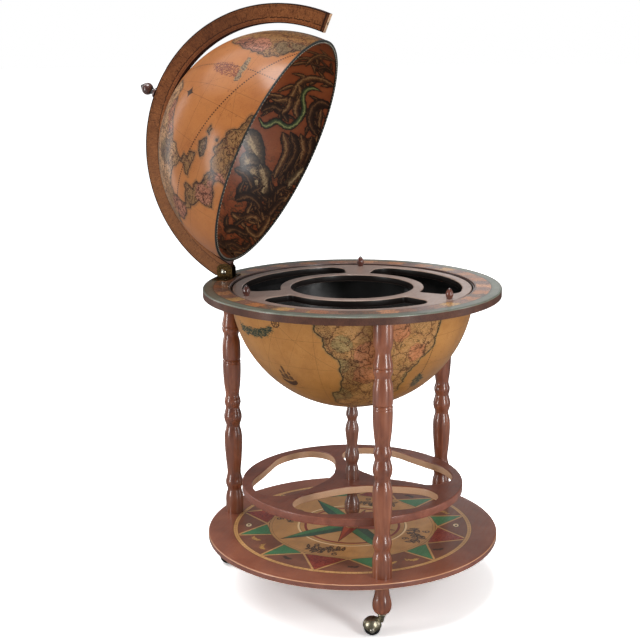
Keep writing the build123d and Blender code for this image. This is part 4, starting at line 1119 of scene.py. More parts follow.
# ---------------------------------------------------------------------- maps
def map_material(name, sea, lands, pinks, slates, ink, coast_ink, dashes, drawn, upper=True, gloss=0.46, coast_half=1.0, hatch_at=(), busy=1.0):
    s = Shade(name, roughness=gloss, coat=0.36, coat_rough=0.22, specular=0.08)
    p = s.vattr("place")
    x, y, z = s.xyz(p)
    wide = s.noise(p, 0.008, 3.0, 0.5, 0.5)
    mid = s.noise(p, 0.05, 4.0, 0.6, 0.3)
    fine = s.noise(p, 0.5, 4.0, 0.65)
    small = s.noise(p, 0.16, 4.0, 0.65, 0.5)
    tone = s.add(s.mul(wide, 0.4), s.mul(mid, 0.35), s.mul(fine, 0.25))
    water = s.ramp(tone, [(0.36, sea[0]), (0.5, sea[1]), (0.66, sea[2])])
    land = s.attr("land")
    jag = s.mul(s.m("SUBTRACT", s.noise(p, 0.17, 4.0, 0.7), 0.5), 8.0)
    coast = s.add(land, jag)
    is_land = s.under(coast, 0.0, 0.35)
    # washes of the land: olive, with pink and slate provinces, ragged where they meet
    ragged = s.mul(s.m("SUBTRACT", s.noise(p, 0.06, 4.0, 0.65), 0.5), 26.0)
    t2 = s.add(s.mul(mid, 0.45), s.mul(fine, 0.55))
    ground = s.ramp(t2, [(0.36, lands[0]), (0.5, lands[1]), (0.64, lands[2])])
    if upper:
        ground = s.mix(s.mul(s.step(z, 95.0, 165.0), s.add(s.mul(small, -0.35), 0.95)), ground, s.mix(s.step(small, 0.45, 0.6), "b38a64", "96704e"))
    rose = s.ramp(t2, [(0.36, pinks[0]), (0.5, pinks[1]), (0.64, pinks[2])])
    blue = s.ramp(t2, [(0.36, slates[0]), (0.5, slates[1]), (0.64, slates[2])])
    dp, db = s.add(s.attr("pink"), ragged), s.add(s.attr("slate"), ragged)
    ground = s.mix(s.mul(s.under(dp, 0.0, 2.5), 0.85), ground, rose)
    ground = s.mix(s.mul(s.under(db, 0.0, 2.5), 0.8), ground, blue)
    province = s.m("MAXIMUM", s.line(dp, 0.6, 0.4), s.line(db, 0.6, 0.4))
    ground = s.mix(s.mul(province, 0.6), ground, ink)
    warp = s.vm("SCALE", s.vm("SUBTRACT", s.noise(p, 0.035, 3.0, 0.6, colour=True), (0.5, 0.5, 0.5)), scale=34.0)
    wp = s.vm("ADD", p, warp)
    border = s.mul(s.cells(wp, 1 / 40.0, "DISTANCE_TO_EDGE").outputs["Distance"], 40.0)
    ground = s.mix(s.mul(s.under(border, 2.6, 2.0), 0.35), ground, s.mix(0.5, rose, ink))
    ground = s.mix(s.mul(s.under(border, 0.8, 0.45), 0.75), ground, ink)
    # rivers, rows of hills, pen strokes and towns
    river = s.line(s.m("SUBTRACT", s.noise(p, 0.03, 3.0, 0.55, 1.5), 0.5), 0.010, 0.005)
    ground = s.mix(s.mul(river, 0.7), ground, coast_ink)
    hilly = s.step(s.noise(p, 0.026, 2.0, 0.5), 0.44, 0.52)
    ground = s.mix(s.mul(s.hills(p, 7.4, 2.1, 0.62), hilly, 0.9 * busy), ground, ink)
    ground = s.mix(s.mul(s.hills(s.vm("ADD", p, (3.1, 5.3, 1.7)), 12.0, 3.1, 0.75), 0.75 * busy), ground, ink)
    some = s.step(s.noise(p, 0.018, 2.0, 0.5), 0.40, 0.52, 0.35, 1.0)
    pen = s.strokes(p, (0.5, 0.3, 0.7), 0.09, 0.42, 0.585, 0.62)
    ground = s.mix(s.mul(pen, some, 0.8 * busy), ground, ink)
    pen2 = s.strokes(p, (1.3, 0.9, 0.2), 0.10, 0.52, 0.60, 0.635)
    ground = s.mix(s.mul(pen2, some, 0.75 * busy), ground, coast_ink)
    if hatch_at:
        band = s.under(s.add(s.attr("band"), s.mul(ragged, 0.4)), 0.0, 3.0)
        combs = s.strokes(p, hatch_at, 0.34, 1.25, 0.50, 0.55)
        ground = s.mix(s.mul(band, s.hills(s.vm("ADD", p, (1.3, 2.1, 4.7)), 5.4, 1.7, 0.5), 0.9), ground, ink)
        ground = s.mix(s.mul(band, combs, 0.8), ground, ink)
    speck = s.mul(s.under(s.mul(s.cells(p, 0.15).outputs["Distance"], 6.7), 0.8, 0.3), s.step(mid, 0.44, 0.5))
    ground = s.mix(s.mul(speck, 0.75), ground, "4a2018")
    inner = s.mul(s.step(coast, -7.5, -0.6), s.step(s.noise(p, 0.35, 3.0, 0.7), 0.42, 0.56))
    ground = s.mix(s.mul(inner, 0.55), ground, coast_ink)
    # water: slate shade and short engraved strokes that fade out from the coast
    near = s.step(coast, 6.5, 0.3)
    water = s.mix(s.mul(near, 0.42), water, slates[1])
    comb = s.line(s.m("PINGPONG", s.add(z, s.mul(mid, 5.0)), 1.15), 0.36, 0.3)
    water = s.mix(s.mul(s.under(coast, 4.2, 1.2), comb, s.step(s.noise(p, 0.1, 2.0, 0.5), 0.36, 0.46), 0.6), water, coast_ink)
    c = s.mix(is_land, water, ground)
    # graticule of meridians and parallels, and fine course lines between far points
    r_xy = s.vm("LENGTH", s.vec(x, y, 0.0))
    lon = s.mul(s.m("PINGPONG", s.mul(s.m("ARCTAN2", y, x), 180 / math.pi), 15.0), math.pi / 180, r_xy)
    lat = s.mul(s.m("PINGPONG", s.mul(s.m("ARCTAN2", z, r_xy), 180 / math.pi), 7.5), math.pi / 180 * 248)
    grid = s.m("MAXIMUM", s.line(lon, 0.34, 0.35), s.line(lat, 0.32, 0.35))
    c = s.mix(s.mul(grid, 0.5), c, ink)
    n_p = s.vm("NORMALIZE", p)
    for k, (ax, ay, az_, half, alpha, period) in enumerate(dashes):
        kvec = Vector((ax, ay, az_)).normalized()
        off = s.mul(s.vm("DOT_PRODUCT", n_p, tuple(kvec)), 247.0)
        ln = s.line(off, half, 0.4)
        if period:
            u = kvec.orthogonal().normalized()
            w = kvec.cross(u)
            th = s.m("ARCTAN2", s.vm("DOT_PRODUCT", n_p, tuple(u)), s.vm("DOT_PRODUCT", n_p, tuple(w)))
            on = s.line(s.m("PINGPONG", s.mul(th, 247.0), period), period * 0.58, 0.4)
            ln = s.mul(ln, on)
        c = s.mix(s.mul(ln, alpha), c, ink)
    wander = s.mul(s.m("SUBTRACT", s.noise(p, 0.09, 2.0, 0.5), 0.5), 1.6)
    line_c = s.line(s.add(coast, wander), coast_half, 0.45)
    c = s.mix(s.mul(line_c, 0.92), c, coast_ink)
    # single drawn things: reef clusters, banks, compass stars
    bank_d = s.add(s.attr("bank"), s.mul(s.m("SUBTRACT", s.noise(p, 0.24, 3.0, 0.7), 0.5), 9.0))
    bank = s.under(bank_d, 0.0, 0.5)
    if upper:
        reef = s.mul(s.under(s.add(s.attr("reef"), s.mul(s.m("SUBTRACT", s.noise(p, 0.16, 4.0, 0.75), 0.5), 24.0)), 0.0, 0.5),
                     s.step(s.noise(p, 0.30, 3.0, 0.7), 0.46, 0.51))
        c = s.mix(s.mul(reef, 0.9), c, s.mix(s.step(fine, 0.4, 0.6), "3c120d", "6b2a1e"))
        bank = s.under(s.add(s.attr("bank"), s.mul(s.m("SUBTRACT", s.noise(p, 0.13, 4.0, 0.75), 0.5), 22.0)), 0.0, 0.5)
        c = s.mix(s.mul(bank, 0.85), c, s.mix(s.step(s.noise(p, 0.32, 3.0, 0.7), 0.45, 0.55), "33322f", "7d6a4c"))
    else:
        comb = s.noise(s.vec(s.mul(x, 0.10), s.mul(y, 0.10), s.mul(z, 0.62)), 0.7, 3.0, 0.65)
        torn = s.add(s.attr("bank"), s.mul(s.m("SUBTRACT", comb, 0.5), 26.0))
        inside = s.under(torn, 0.0, 0.6)
        c = s.mix(s.mul(inside, 0.6), c, "46543a")
        c = s.mix(s.mul(inside, s.step(s.noise(s.vec(s.mul(x, 0.3), s.mul(y, 0.3), s.mul(z, 1.3)), 0.55, 3.0, 0.65), 0.43, 0.49), 0.94), c, "10261f")
    for kind, centre, size in drawn:
        n0 = on_sphere([centre], upper)[0]
        e1 = np.cross(n0, (0, 0, 1.0))
        e1 = e1 / np.linalg.norm(e1)
        e2 = np.cross(n0, e1)
        du, dv = s.vm("DOT_PRODUCT", p, tuple(float(i_) for i_ in e1)), s.vm("DOT_PRODUCT", p, tuple(float(i_) for i_ in e2))
        here = s.step(s.vm("DOT_PRODUCT", n_p, tuple(float(i_) for i_ in n0)), 0.90, 0.92)
        rr = s.vm("LENGTH", s.vec(du, dv, 0.0))
        th = s.m("ARCTAN2", dv, du)
        if kind == "wheel":
            spoke = s.mul(s.m("PINGPONG", s.add(th, math.pi / 8), math.pi / 8), rr)
            shape = s.m("MAXIMUM", s.line(rr, 1.0, 0.4, at=size), s.line(rr, 0.7, 0.35, at=size * 0.26))
            shape = s.m("MAXIMUM", shape, s.mul(s.line(spoke, 0.75, 0.35), s.between(rr, size * 0.26, size * 1.22, 0.3)))
        elif kind == "rose":
            ray = s.mul(s.m("PINGPONG", th, math.pi / 16), rr)
            shape = s.m("MAXIMUM", s.line(rr, 0.55, 0.4, at=size * 0.62), s.mul(s.line(rr, 0.4, 0.35, at=size * 0.74), 0.6))
            shape = s.m("MAXIMUM", shape, s.mul(s.line(ray, 0.22, 0.3), s.between(rr, size * 0.2, size * 0.62, 0.3), 0.7))
            au, av = s.m("DIVIDE", s.m("ABSOLUTE", du), size), s.m("DIVIDE", s.m("ABSOLUTE", dv), size)
            shape = s.m("MAXIMUM", shape, s.under(s.add(s.m("POWER", au, 0.7), s.m("POWER", av, 0.7)), 1.0, 0.12))
        elif kind == "ship":
            w = s.mul(dv, -0.56)
            du = s.mul(du, 0.86)
            keel = s.add(w, s.mul(s.m("POWER", s.m("ABSOLUTE", du), 2.0), -0.55 / size), 0.80 * size)
            rail = s.add(w, s.mul(s.m("POWER", s.m("ABSOLUTE", du), 2.0), -0.32 / size), 0.42 * size)
            shape = s.mul(s.step(keel, -0.4, 0.4), s.under(rail, 0.0, 0.4), s.under(s.m("ABSOLUTE", du), 0.78 * size, 0.4))
            for at_, foot, head in ((-0.42, -0.42, 0.45), (0.0, -0.42, 0.85), (0.42, -0.38, 0.5)):
                off = s.add(du, -at_ * size)
                shape = s.m("MAXIMUM", shape, s.mul(s.line(off, 0.45, 0.35), s.between(w, foot * size, head * size, 0.4)))
                for lo_, hi_, half_ in ((foot + 0.16, foot + 0.16 + (head - foot) * 0.38, 0.19), (foot + 0.24 + (head - foot) * 0.38, head - 0.08, 0.13)):
                    bulge = s.mul(s.m("POWER", s.m("ABSOLUTE", off), 2.0), 1.6 / size)
                    body = s.mul(s.between(s.add(w, bulge), lo_ * size, hi_ * size, 0.3), s.under(s.m("ABSOLUTE", off), half_ * size, 0.3))
                    shape = s.m("MAXIMUM", shape, s.mul(body, s.step(s.noise(p, 0.9, 2.0, 0.6), 0.36, 0.5, 0.45, 0.95)))
            wake = s.mul(s.line(s.m("PINGPONG", w, 1.6), 0.25, 0.3), s.between(w, -1.0 * size, -0.78 * size, 0.4), s.under(s.m("ABSOLUTE", du), 0.95 * size, 2.0))
            shape = s.m("MAXIMUM", shape, s.mul(wake, 0.8))
        else:
            au, av = s.m("DIVIDE", s.m("ABSOLUTE", du), size), s.m("DIVIDE", s.m("ABSOLUTE", dv), size)
            shape = s.under(s.add(s.m("POWER", au, 0.62), s.m("POWER", av, 0.62)), 1.0, 0.09)
            gu, gv = s.mul(s.add(du, dv), 0.7071 / (size * 0.6)), s.mul(s.m("SUBTRACT", du, dv), 0.7071 / (size * 0.6))
            shape = s.m("MAXIMUM", shape, s.under(s.add(s.m("POWER", s.m("ABSOLUTE", gu), 0.66), s.m("POWER", s.m("ABSOLUTE", gv), 0.66)), 1.0, 0.12))
            shape = s.m("MAXIMUM", shape, s.mul(s.line(rr, 0.35, 0.3, at=size * 0.42), 0.8))
        c = s.mix(s.mul(shape, here, 0.94), c, "24170f")
    if not upper:
        # painted shade darkens the lower bowl towards the bottom, and a faint painted light lightens the side towards
        # +X
        c = s.mix(s.step(z, -70.0, -200.0, 0.0, 0.34), c, "3a2410")
        c = s.mix(s.mul(s.step(x, 40.0, 230.0), 0.10), c, "e0c090")
    dots = s.mul(s.under(s.mul(s.cells(p, 0.045).outputs["Distance"], 22.0), 1.15, 0.4), s.step(s.noise(p, 0.02, 2.0, 0.5), 0.5, 0.56),
                 s.step(coast, 1.0, 3.0))
    c = s.mix(s.mul(dots, 0.6), c, ink)
    # waves: scattered short strokes in the open water
    wave = s.mul(s.strokes(p, (0.1, 0.2, 0.5), 0.15, 0.8, 0.605, 0.635), s.step(s.noise(p, 0.035, 3.0, 0.6), 0.52, 0.6), s.step(coast, 2.0, 5.0))
    c = s.mix(s.mul(wave, 0.42), c, ink)
    # age: brown bloom towards the seams and small scuffs
    c = s.mix(s.mul(s.step(mid, 0.52, 0.72), 0.2), c, "5f3820")
    c = s.mix(s.mul(s.step(s.noise(p, 0.9, 4.0, 0.75), 0.60, 0.7), 0.3), c, s.mix(0.5, sea[0], ink))
    s.colour(c)
    s.rough(s.step(tone, 0.35, 0.7, gloss - 0.05, gloss + 0.08))
    s.bump(s.add(s.mul(fine, 0.4), s.mul(line_c, 0.12)), 0.05, 0.0004)
    return s.mat


def blobs(spots):
    """Round patches on the chart, from centre and radius."""
    return [[(x_ + r_ * math.cos(a_), y_ + r_ * math.sin(a_)) for a_ in np.linspace(0, 2 * math.pi, 18, endpoint=False)] for x_, y_, r_ in spots]


def globe_shell(r_out, r_in, a0, a1, n_out, n_in, segments, upper):
    """Closed shell between two latitudes, in mm from the globe's centre, outer side first."""
    ao = np.linspace(a0, a1, n_out)
    ai = np.linspace(a1, math.asin(math.sin(a0) * r_out / r_in) if a0 != 0 else 0.0, n_in)
    sgn = 1 if upper else -1
    out = [(r_out * math.cos(a), sgn * r_out * math.sin(a)) for a in ao]
    inn = [(r_in * math.cos(a), sgn * r_in * math.sin(a)) for a in ai]
    prof = [(0.0 if abs(r) < 1e-6 else r, z_) for r, z_ in out + inn]
    v, q, t = lathe(np.array(prof), segments, closed=True)
    return v, q, t


# land outlines, drawn in the plane of a polar chart
MAIN = [(-0.308, -0.162), (-0.334, -0.133), (-0.35, -0.112), (-0.38, -0.083), (-0.403, -0.05), (-0.433, -0.015), (-0.469, 0.023),
        (-0.526, 0.059), (-0.553, 0.098), (-0.597, 0.116), (-0.647, 0.098), (-0.658, 0.053), (-0.705, 0.039), (-0.698, 0.092),
        (-0.683, 0.14), (-0.671, 0.198), (-0.644, 0.188), (-0.63, 0.139), (-0.582, 0.132), (-0.527, 0.181), (-0.501, 0.236),
        (-0.483, 0.295), (-0.499, 0.337), (-0.565, 0.369), (-0.613, 0.381), (-0.623, 0.333), (-0.645, 0.291), (-0.652, 0.24),
        (-0.687, 0.256), (-0.711, 0.277), (-0.741, 0.211), (-0.783, 0.213), (-0.805, 0.172), (-0.818, 0.141), (-0.854, 0.114),
        (-0.842, 0.069), (-0.834, 0.023), (-0.819, -0.027), (-0.837, -0.073), (-0.845, -0.116), (-0.843, -0.169),
        (-0.859, -0.206), (-0.9, -0.238), (-0.899, -0.294), (-0.892, -0.35), (-0.895, -0.387), (-0.94, -0.41), (-1.08, -0.44),
        (-1.15, -0.1), (-1.12, 0.2), (-0.992, 0.185), (-0.955, 0.164), (-0.896, 0.166), (-0.875, 0.209), (-0.884, 0.284),
        (-0.859, 0.384), (-0.833, 0.379), (-0.783, 0.363), (-0.718, 0.365), (-0.661, 0.387), (-0.64, 0.411), (-0.579, 0.454),
        (-0.485, 0.507), (-0.413, 0.493), (-0.35, 0.56), (-0.26, 0.60), (-0.17, 0.55), (-0.12, 0.44), (-0.17, 0.33),
        (-0.13, 0.22), (-0.19, 0.10), (-0.14, -0.02), (-0.20, -0.11)]
NORTH = [(-0.179, -0.453), (-0.277, -0.503), (-0.362, -0.538), (-0.411, -0.571), (-0.453, -0.629), (-0.486, -0.678),
         (-0.482, -0.746), (-0.442, -0.818), (-0.411, -0.892), (-0.44, -0.99), (-0.2, -1.12), (0.12, -1.08), (0.26, -0.95),
         (0.33, -0.78), (0.25, -0.62), (0.13, -0.60), (0.06, -0.48), (-0.06, -0.42)]
EAST = [(0.30, -0.28), (0.44, -0.35), (0.60, -0.30), (0.72, -0.16), (0.80, 0.02), (0.74, 0.20), (0.79, 0.38), (0.66, 0.52),
        (0.50, 0.55), (0.38, 0.68), (0.22, 0.74), (0.14, 0.60), (0.24, 0.46), (0.36, 0.38), (0.40, 0.22), (0.30, 0.10),
        (0.34, -0.06), (0.26, -0.16)]
SOUTH_ = [(0.02, 0.84), (0.16, 0.88), (0.22, 0.97), (0.10, 1.08), (-0.08, 1.05), (-0.10, 0.92)]
ISLES = [[(-0.719, -0.05), (-0.739, -0.075), (-0.763, -0.02), (-0.762, 0.034), (-0.745, 0.054), (-0.715, 0.022), (-0.701, -0.022)],
         [(-0.72, -0.147), (-0.742, -0.132), (-0.745, -0.092), (-0.718, -0.104)],
         [(-0.80, -0.10), (-0.812, -0.112), (-0.822, -0.09), (-0.81, -0.078)],
         [(0.55, -0.58), (0.62, -0.62), (0.68, -0.56), (0.60, -0.52)],
         [(-0.34, 0.76), (-0.28, 0.80), (-0.30, 0.86), (-0.38, 0.84)],
         [(0.05, 0.12), (0.12, 0.15), (0.10, 0.22), (0.02, 0.20)]]
REEF = [(-0.386, -0.344), (-0.388, -0.386), (-0.435, -0.438), (-0.5, -0.473), (-0.559, -0.476), (-0.577, -0.437),
        (-0.529, -0.389), (-0.452, -0.348)]
BANK = [(-0.587, -0.414), (-0.548, -0.46), (-0.5, -0.504), (-0.451, -0.543), (-0.472, -0.565), (-0.538, -0.521),
        (-0.589, -0.467), (-0.617, -0.429)]


def star_on(centre_uv, upper, radius, size, arms=4, inner=0.16, turn=0.0):
    """Star with pointed arms on the globe, as an outline in the chart's plane."""
    n0 = on_sphere([centre_uv], upper)[0]
    e1 = np.cross(n0, (0, 0, 1.0))
    e1 /= np.linalg.norm(e1)
    e2 = np.cross(n0, e1)
    out = []
    for i in range(arms * 2):
        a = turn + math.pi * i / arms
        r = size if i % 2 == 0 else size * inner
        w = n0 * radius + e1 * r * math.cos(a) + e2 * r * math.sin(a)
        out.append(w / np.linalg.norm(w))
    return to_plane(np.array(out), upper)


def ring_on(centre_uv, upper, radius, r0, r1, n=28):
    n0 = on_sphere([centre_uv], upper)[0]
    e1 = np.cross(n0, (0, 0, 1.0))
    e1 /= np.linalg.norm(e1)
    e2 = np.cross(n0, e1)
    polys = []
    for i in range(n):
        a, b = 2 * math.pi * i / n, 2 * math.pi * (i + 1.05) / n
        q_ = [n0 * radius + (e1 * math.cos(t_) + e2 * math.sin(t_)) * r_ for t_, r_ in ((a, r0), (b, r0), (b, r1), (a, r1))]
        polys.append(to_plane(np.array([w / np.linalg.norm(w) for w in q_]), upper))
    return polys


def great(uv_a, uv_b, upper=True):
    """Pole of the great circle through two chart points."""
    a, b = on_sphere([uv_a, uv_b], upper)
    k = np.cross(a, b)
    return tuple(k / np.linalg.norm(k))


LID_LANDS = [rough(MAIN, 0.16, 1, 3), rough(NORTH, 0.17, 2, 4), rough(EAST, 0.17, 2, 5), rough(SOUTH_, 0.15, 2, 6)]
LID_LANDS += [rough(i_, 0.12, 1, 7 + k) for k, i_ in enumerate(ISLES[:3])] + [rough(i_, 0.24, 3, 47 + k) for k, i_ in enumerate(ISLES[3:])]
v, q, t = globe_shell(246.0, 241.8, math.asin(1.2 / 246.0), math.pi / 2, 118, 34, 528, True)
units = v / np.linalg.norm(v, axis=1)[:, None]
skin = np.linalg.norm(v, axis=1) > 244.5
me = mesh_from("lid_printed", opened(v + np.array([0, 0, SPHERE_Z])), q, t)


def on_skin(me_, name, polys, upper, radius, limit=30.0):
    full = np.full(len(v), limit)
    full[skin] = sphere_sdf(units[skin], polys, radius, upper, limit)
    floats(me_, name, full)


on_skin(me, "land", LID_LANDS, True, 246.0)
on_skin(me, "reef", [REEF], True, 246.0)
on_skin(me, "bank", [BANK], True, 246.0)
on_skin(me, "pink", blobs([(-0.33, -0.59, 0.10), (-0.27, -0.53, 0.07), (-0.938, 0.161, 0.055), (-0.88, 0.22, 0.05), (-0.80, 0.29, 0.08), (-0.39, -0.07, 0.065),
                           (-0.43, -0.02, 0.06), (-0.52, 0.43, 0.08), (0.55, 0.05, 0.12), (0.30, 0.60, 0.10), (0.1, -0.9, 0.12)]), True, 246.0, 60.0)
on_skin(me, "slate", blobs([(-0.38, -0.80, 0.09), (-0.37, -0.88, 0.08), (-0.73, 0.0, 0.07), (-0.42, 0.13, 0.06), (-1.0, 0.02, 0.05), (-0.2, 0.2, 0.09),
                            (0.45, -0.25, 0.12), (0.05, 0.95, 0.1), (0.7, 0.35, 0.08)]), True, 246.0, 60.0)
vectors(me, "place", v)
smooth(me, 32)
lid_dashes = [great((-0.661, 0.003), (-0.438, -0.893)) + (1.45, 0.95, 2.7), great((-0.27, -0.258), (-0.752, -0.698)) + (1.2, 0.9, 2.7),
              great((-0.427, -0.181), (-0.80, -0.30)) + (0.35, 0.55, 0), great((-0.427, -0.181), (-0.62, -0.60)) + (0.3, 0.4, 0),
              great((-0.30, -0.60), (-0.86, -0.20)) + (0.3, 0.42, 0), great((-0.70, -0.45), (-0.60, 0.05)) + (0.25, 0.36, 0)]
MAP_LID = map_material("map_lid_varnish", ("88512b", "955c30", "a26838"), ("64472c", "7a5735", "906a44"), ("7e4836", "925a46", "a57058"),
                       ("4a3a2c", "60503b", "76644a"), "2b1810", "221a14", lid_dashes,
                       [("star", (-0.427, -0.181), 14.0), ("star", (0.55, 0.1), 15.0)], True)
piece("lid_printed", me, "lid", MAP_LID, ("upper_hemisphere",))

# lower hemisphere
BOWL_LAND = [(-0.96, 0.0), (-0.883, -0.015), (-0.813, -0.036), (-0.765, -0.068), (-0.711, -0.07), (-0.667, -0.103), (-0.629, -0.127),
             (-0.56, -0.114), (-0.462, -0.093), (-0.412, -0.074), (-0.395, -0.035), (-0.342, -0.03), (-0.273, -0.028),
             (-0.20, -0.05), (-0.17, -0.13), (-0.21, -0.20), (-0.26, -0.26), (-0.297, -0.32), (-0.333, -0.372), (-0.362, -0.438),
             (-0.378, -0.507), (-0.359, -0.56), (-0.352, -0.612), (-0.393, -0.683), (-0.419, -0.769), (-0.50, -0.93), (-0.80, -0.85),
             (-1.05, -0.45)]
BOWL_SOUTH = [(-0.05, 0.10), (0.10, 0.14), (0.20, 0.02), (0.16, -0.12), (0.03, -0.17), (-0.06, -0.08)]
BOWL_EAST = [(0.55, -0.75), (0.62, -0.55), (0.50, -0.40), (0.42, -0.22), (0.50, -0.05), (0.62, 0.05), (0.78, 0.0), (0.90, -0.12),
             (1.02, -0.30), (0.85, -0.70), (0.72, -0.95)]
BOWL_NE = [(0.20, 0.55), (0.34, 0.48), (0.50, 0.52), (0.62, 0.64), (0.55, 0.82), (0.36, 0.90), (0.22, 0.78)]
BOWL_ISLES = [[(-0.20, 0.62), (-0.14, 0.68), (-0.20, 0.74), (-0.26, 0.68)], [(0.02, -0.55), (0.09, -0.60), (0.07, -0.68), (0.0, -0.64)],
              [(-0.72, 0.30), (-0.70, 0.42), (-0.745, 0.47), (-0.775, 0.38)]]
BOWL_LANDS = [rough(BOWL_LAND, 0.13, 2, 21), rough(BOWL_SOUTH, 0.17, 3, 22), rough(BOWL_EAST, 0.15, 2, 23), rough(BOWL_NE, 0.15, 2, 24)]
BOWL_LANDS += [rough(i_, 0.24, 3, 57 + k) for k, i_ in enumerate(BOWL_ISLES[:2])]
v, q, t = globe_shell(250.0, 246.5, math.asin(15.5 / 250.0), math.pi / 2, 116, 34, 528, False)
units = v / np.linalg.norm(v, axis=1)[:, None]
skin = np.linalg.norm(v, axis=1) > 248.5
me = mesh_from("bowl_printed", v + np.array([0, 0, SPHERE_Z]), q, t)
on_skin(me, "land", BOWL_LANDS, False, 250.0)
TEAL = [(-0.535, 0.60), (-0.60, 0.52), (-0.665, 0.445), (-0.73, 0.375), (-0.785, 0.325), (-0.765, 0.285), (-0.69, 0.325), (-0.62, 0.40), (-0.55, 0.49), (-0.505, 0.56)]
on_skin(me, "bank", [[(-0.268, -0.44), (-0.265, -0.387), (-0.212, -0.344), (-0.179, -0.358), (-0.202, -0.425)], TEAL], False, 250.0)
wheel_uv = (-0.828, 0.282)
on_skin(me, "band", [rough([(-0.90, -0.02), (-0.80, -0.05), (-0.70, -0.08), (-0.63, -0.14), (-0.55, -0.125), (-0.45, -0.10), (-0.38, -0.05), (-0.36, -0.10), (-0.42, -0.17),
                           (-0.52, -0.20), (-0.60, -0.22), (-0.70, -0.18), (-0.80, -0.13), (-0.92, -0.10)], 0.1, 1, 33), [(0.55, -0.35), (0.62, -0.10), (0.70, -0.12), (0.64, -0.38)]], False, 250.0, 60.0)
on_skin(me, "pink", blobs([(-0.25, -0.70, 0.12), (-0.66, -0.54, 0.08), (-0.62, -0.30, 0.09), (-0.50, -0.24, 0.07), (-0.44, -0.52, 0.06), (0.1, 0.0, 0.12), (0.7, -0.3, 0.12), (0.4, 0.7, 0.12)]), False, 250.0, 60.0)
on_skin(me, "slate", blobs([(-0.74, -0.17, 0.06), (-0.60, -0.13, 0.05), (-0.38, -0.06, 0.06), (-0.30, -0.42, 0.07), (0.6, -0.1, 0.1), (0.1, -0.6, 0.1)]), False, 250.0, 60.0)
vectors(me, "place", v)
smooth(me, 32)
bowl_dashes = [great((-0.393, -0.683), (-0.25, -0.43), False) + (1.2, 0.9, 2.2), great(wheel_uv, (-0.45, 0.30), False) + (0.35, 0.55, 0),
               great(wheel_uv, (-0.70, 0.05), False) + (0.35, 0.55, 0), great(wheel_uv, (-0.62, 0.45), False) + (0.3, 0.5, 0),
               great((-0.60, 0.20), (-0.38, 0.10), False) + (0.3, 0.45, 0), great((-0.80, 0.10), (-0.40, 0.20), False) + (0.3, 0.4, 0)]
MAP_BOWL = map_material("map_bowl_varnish", ("8e5f2e", "9d6c37", "ad7b42"), ("8c6234", "a27646", "b68a56"), ("9c5c3a", "b0704a", "c2825a"),
                        ("70623c", "86744a", "988456"), "352212", "2a2a1c", bowl_dashes,
                        [("wheel", wheel_uv, 9.4), ("ship", (-0.455, 0.19), 21.0), ("star", (0.5, 0.2), 15.0)], False, 0.44, 1.5, (0.9, 0.4, 0.8), 0.42)
piece("bowl_printed", me, "stand", MAP_BOWL, ("globe_bowl",))

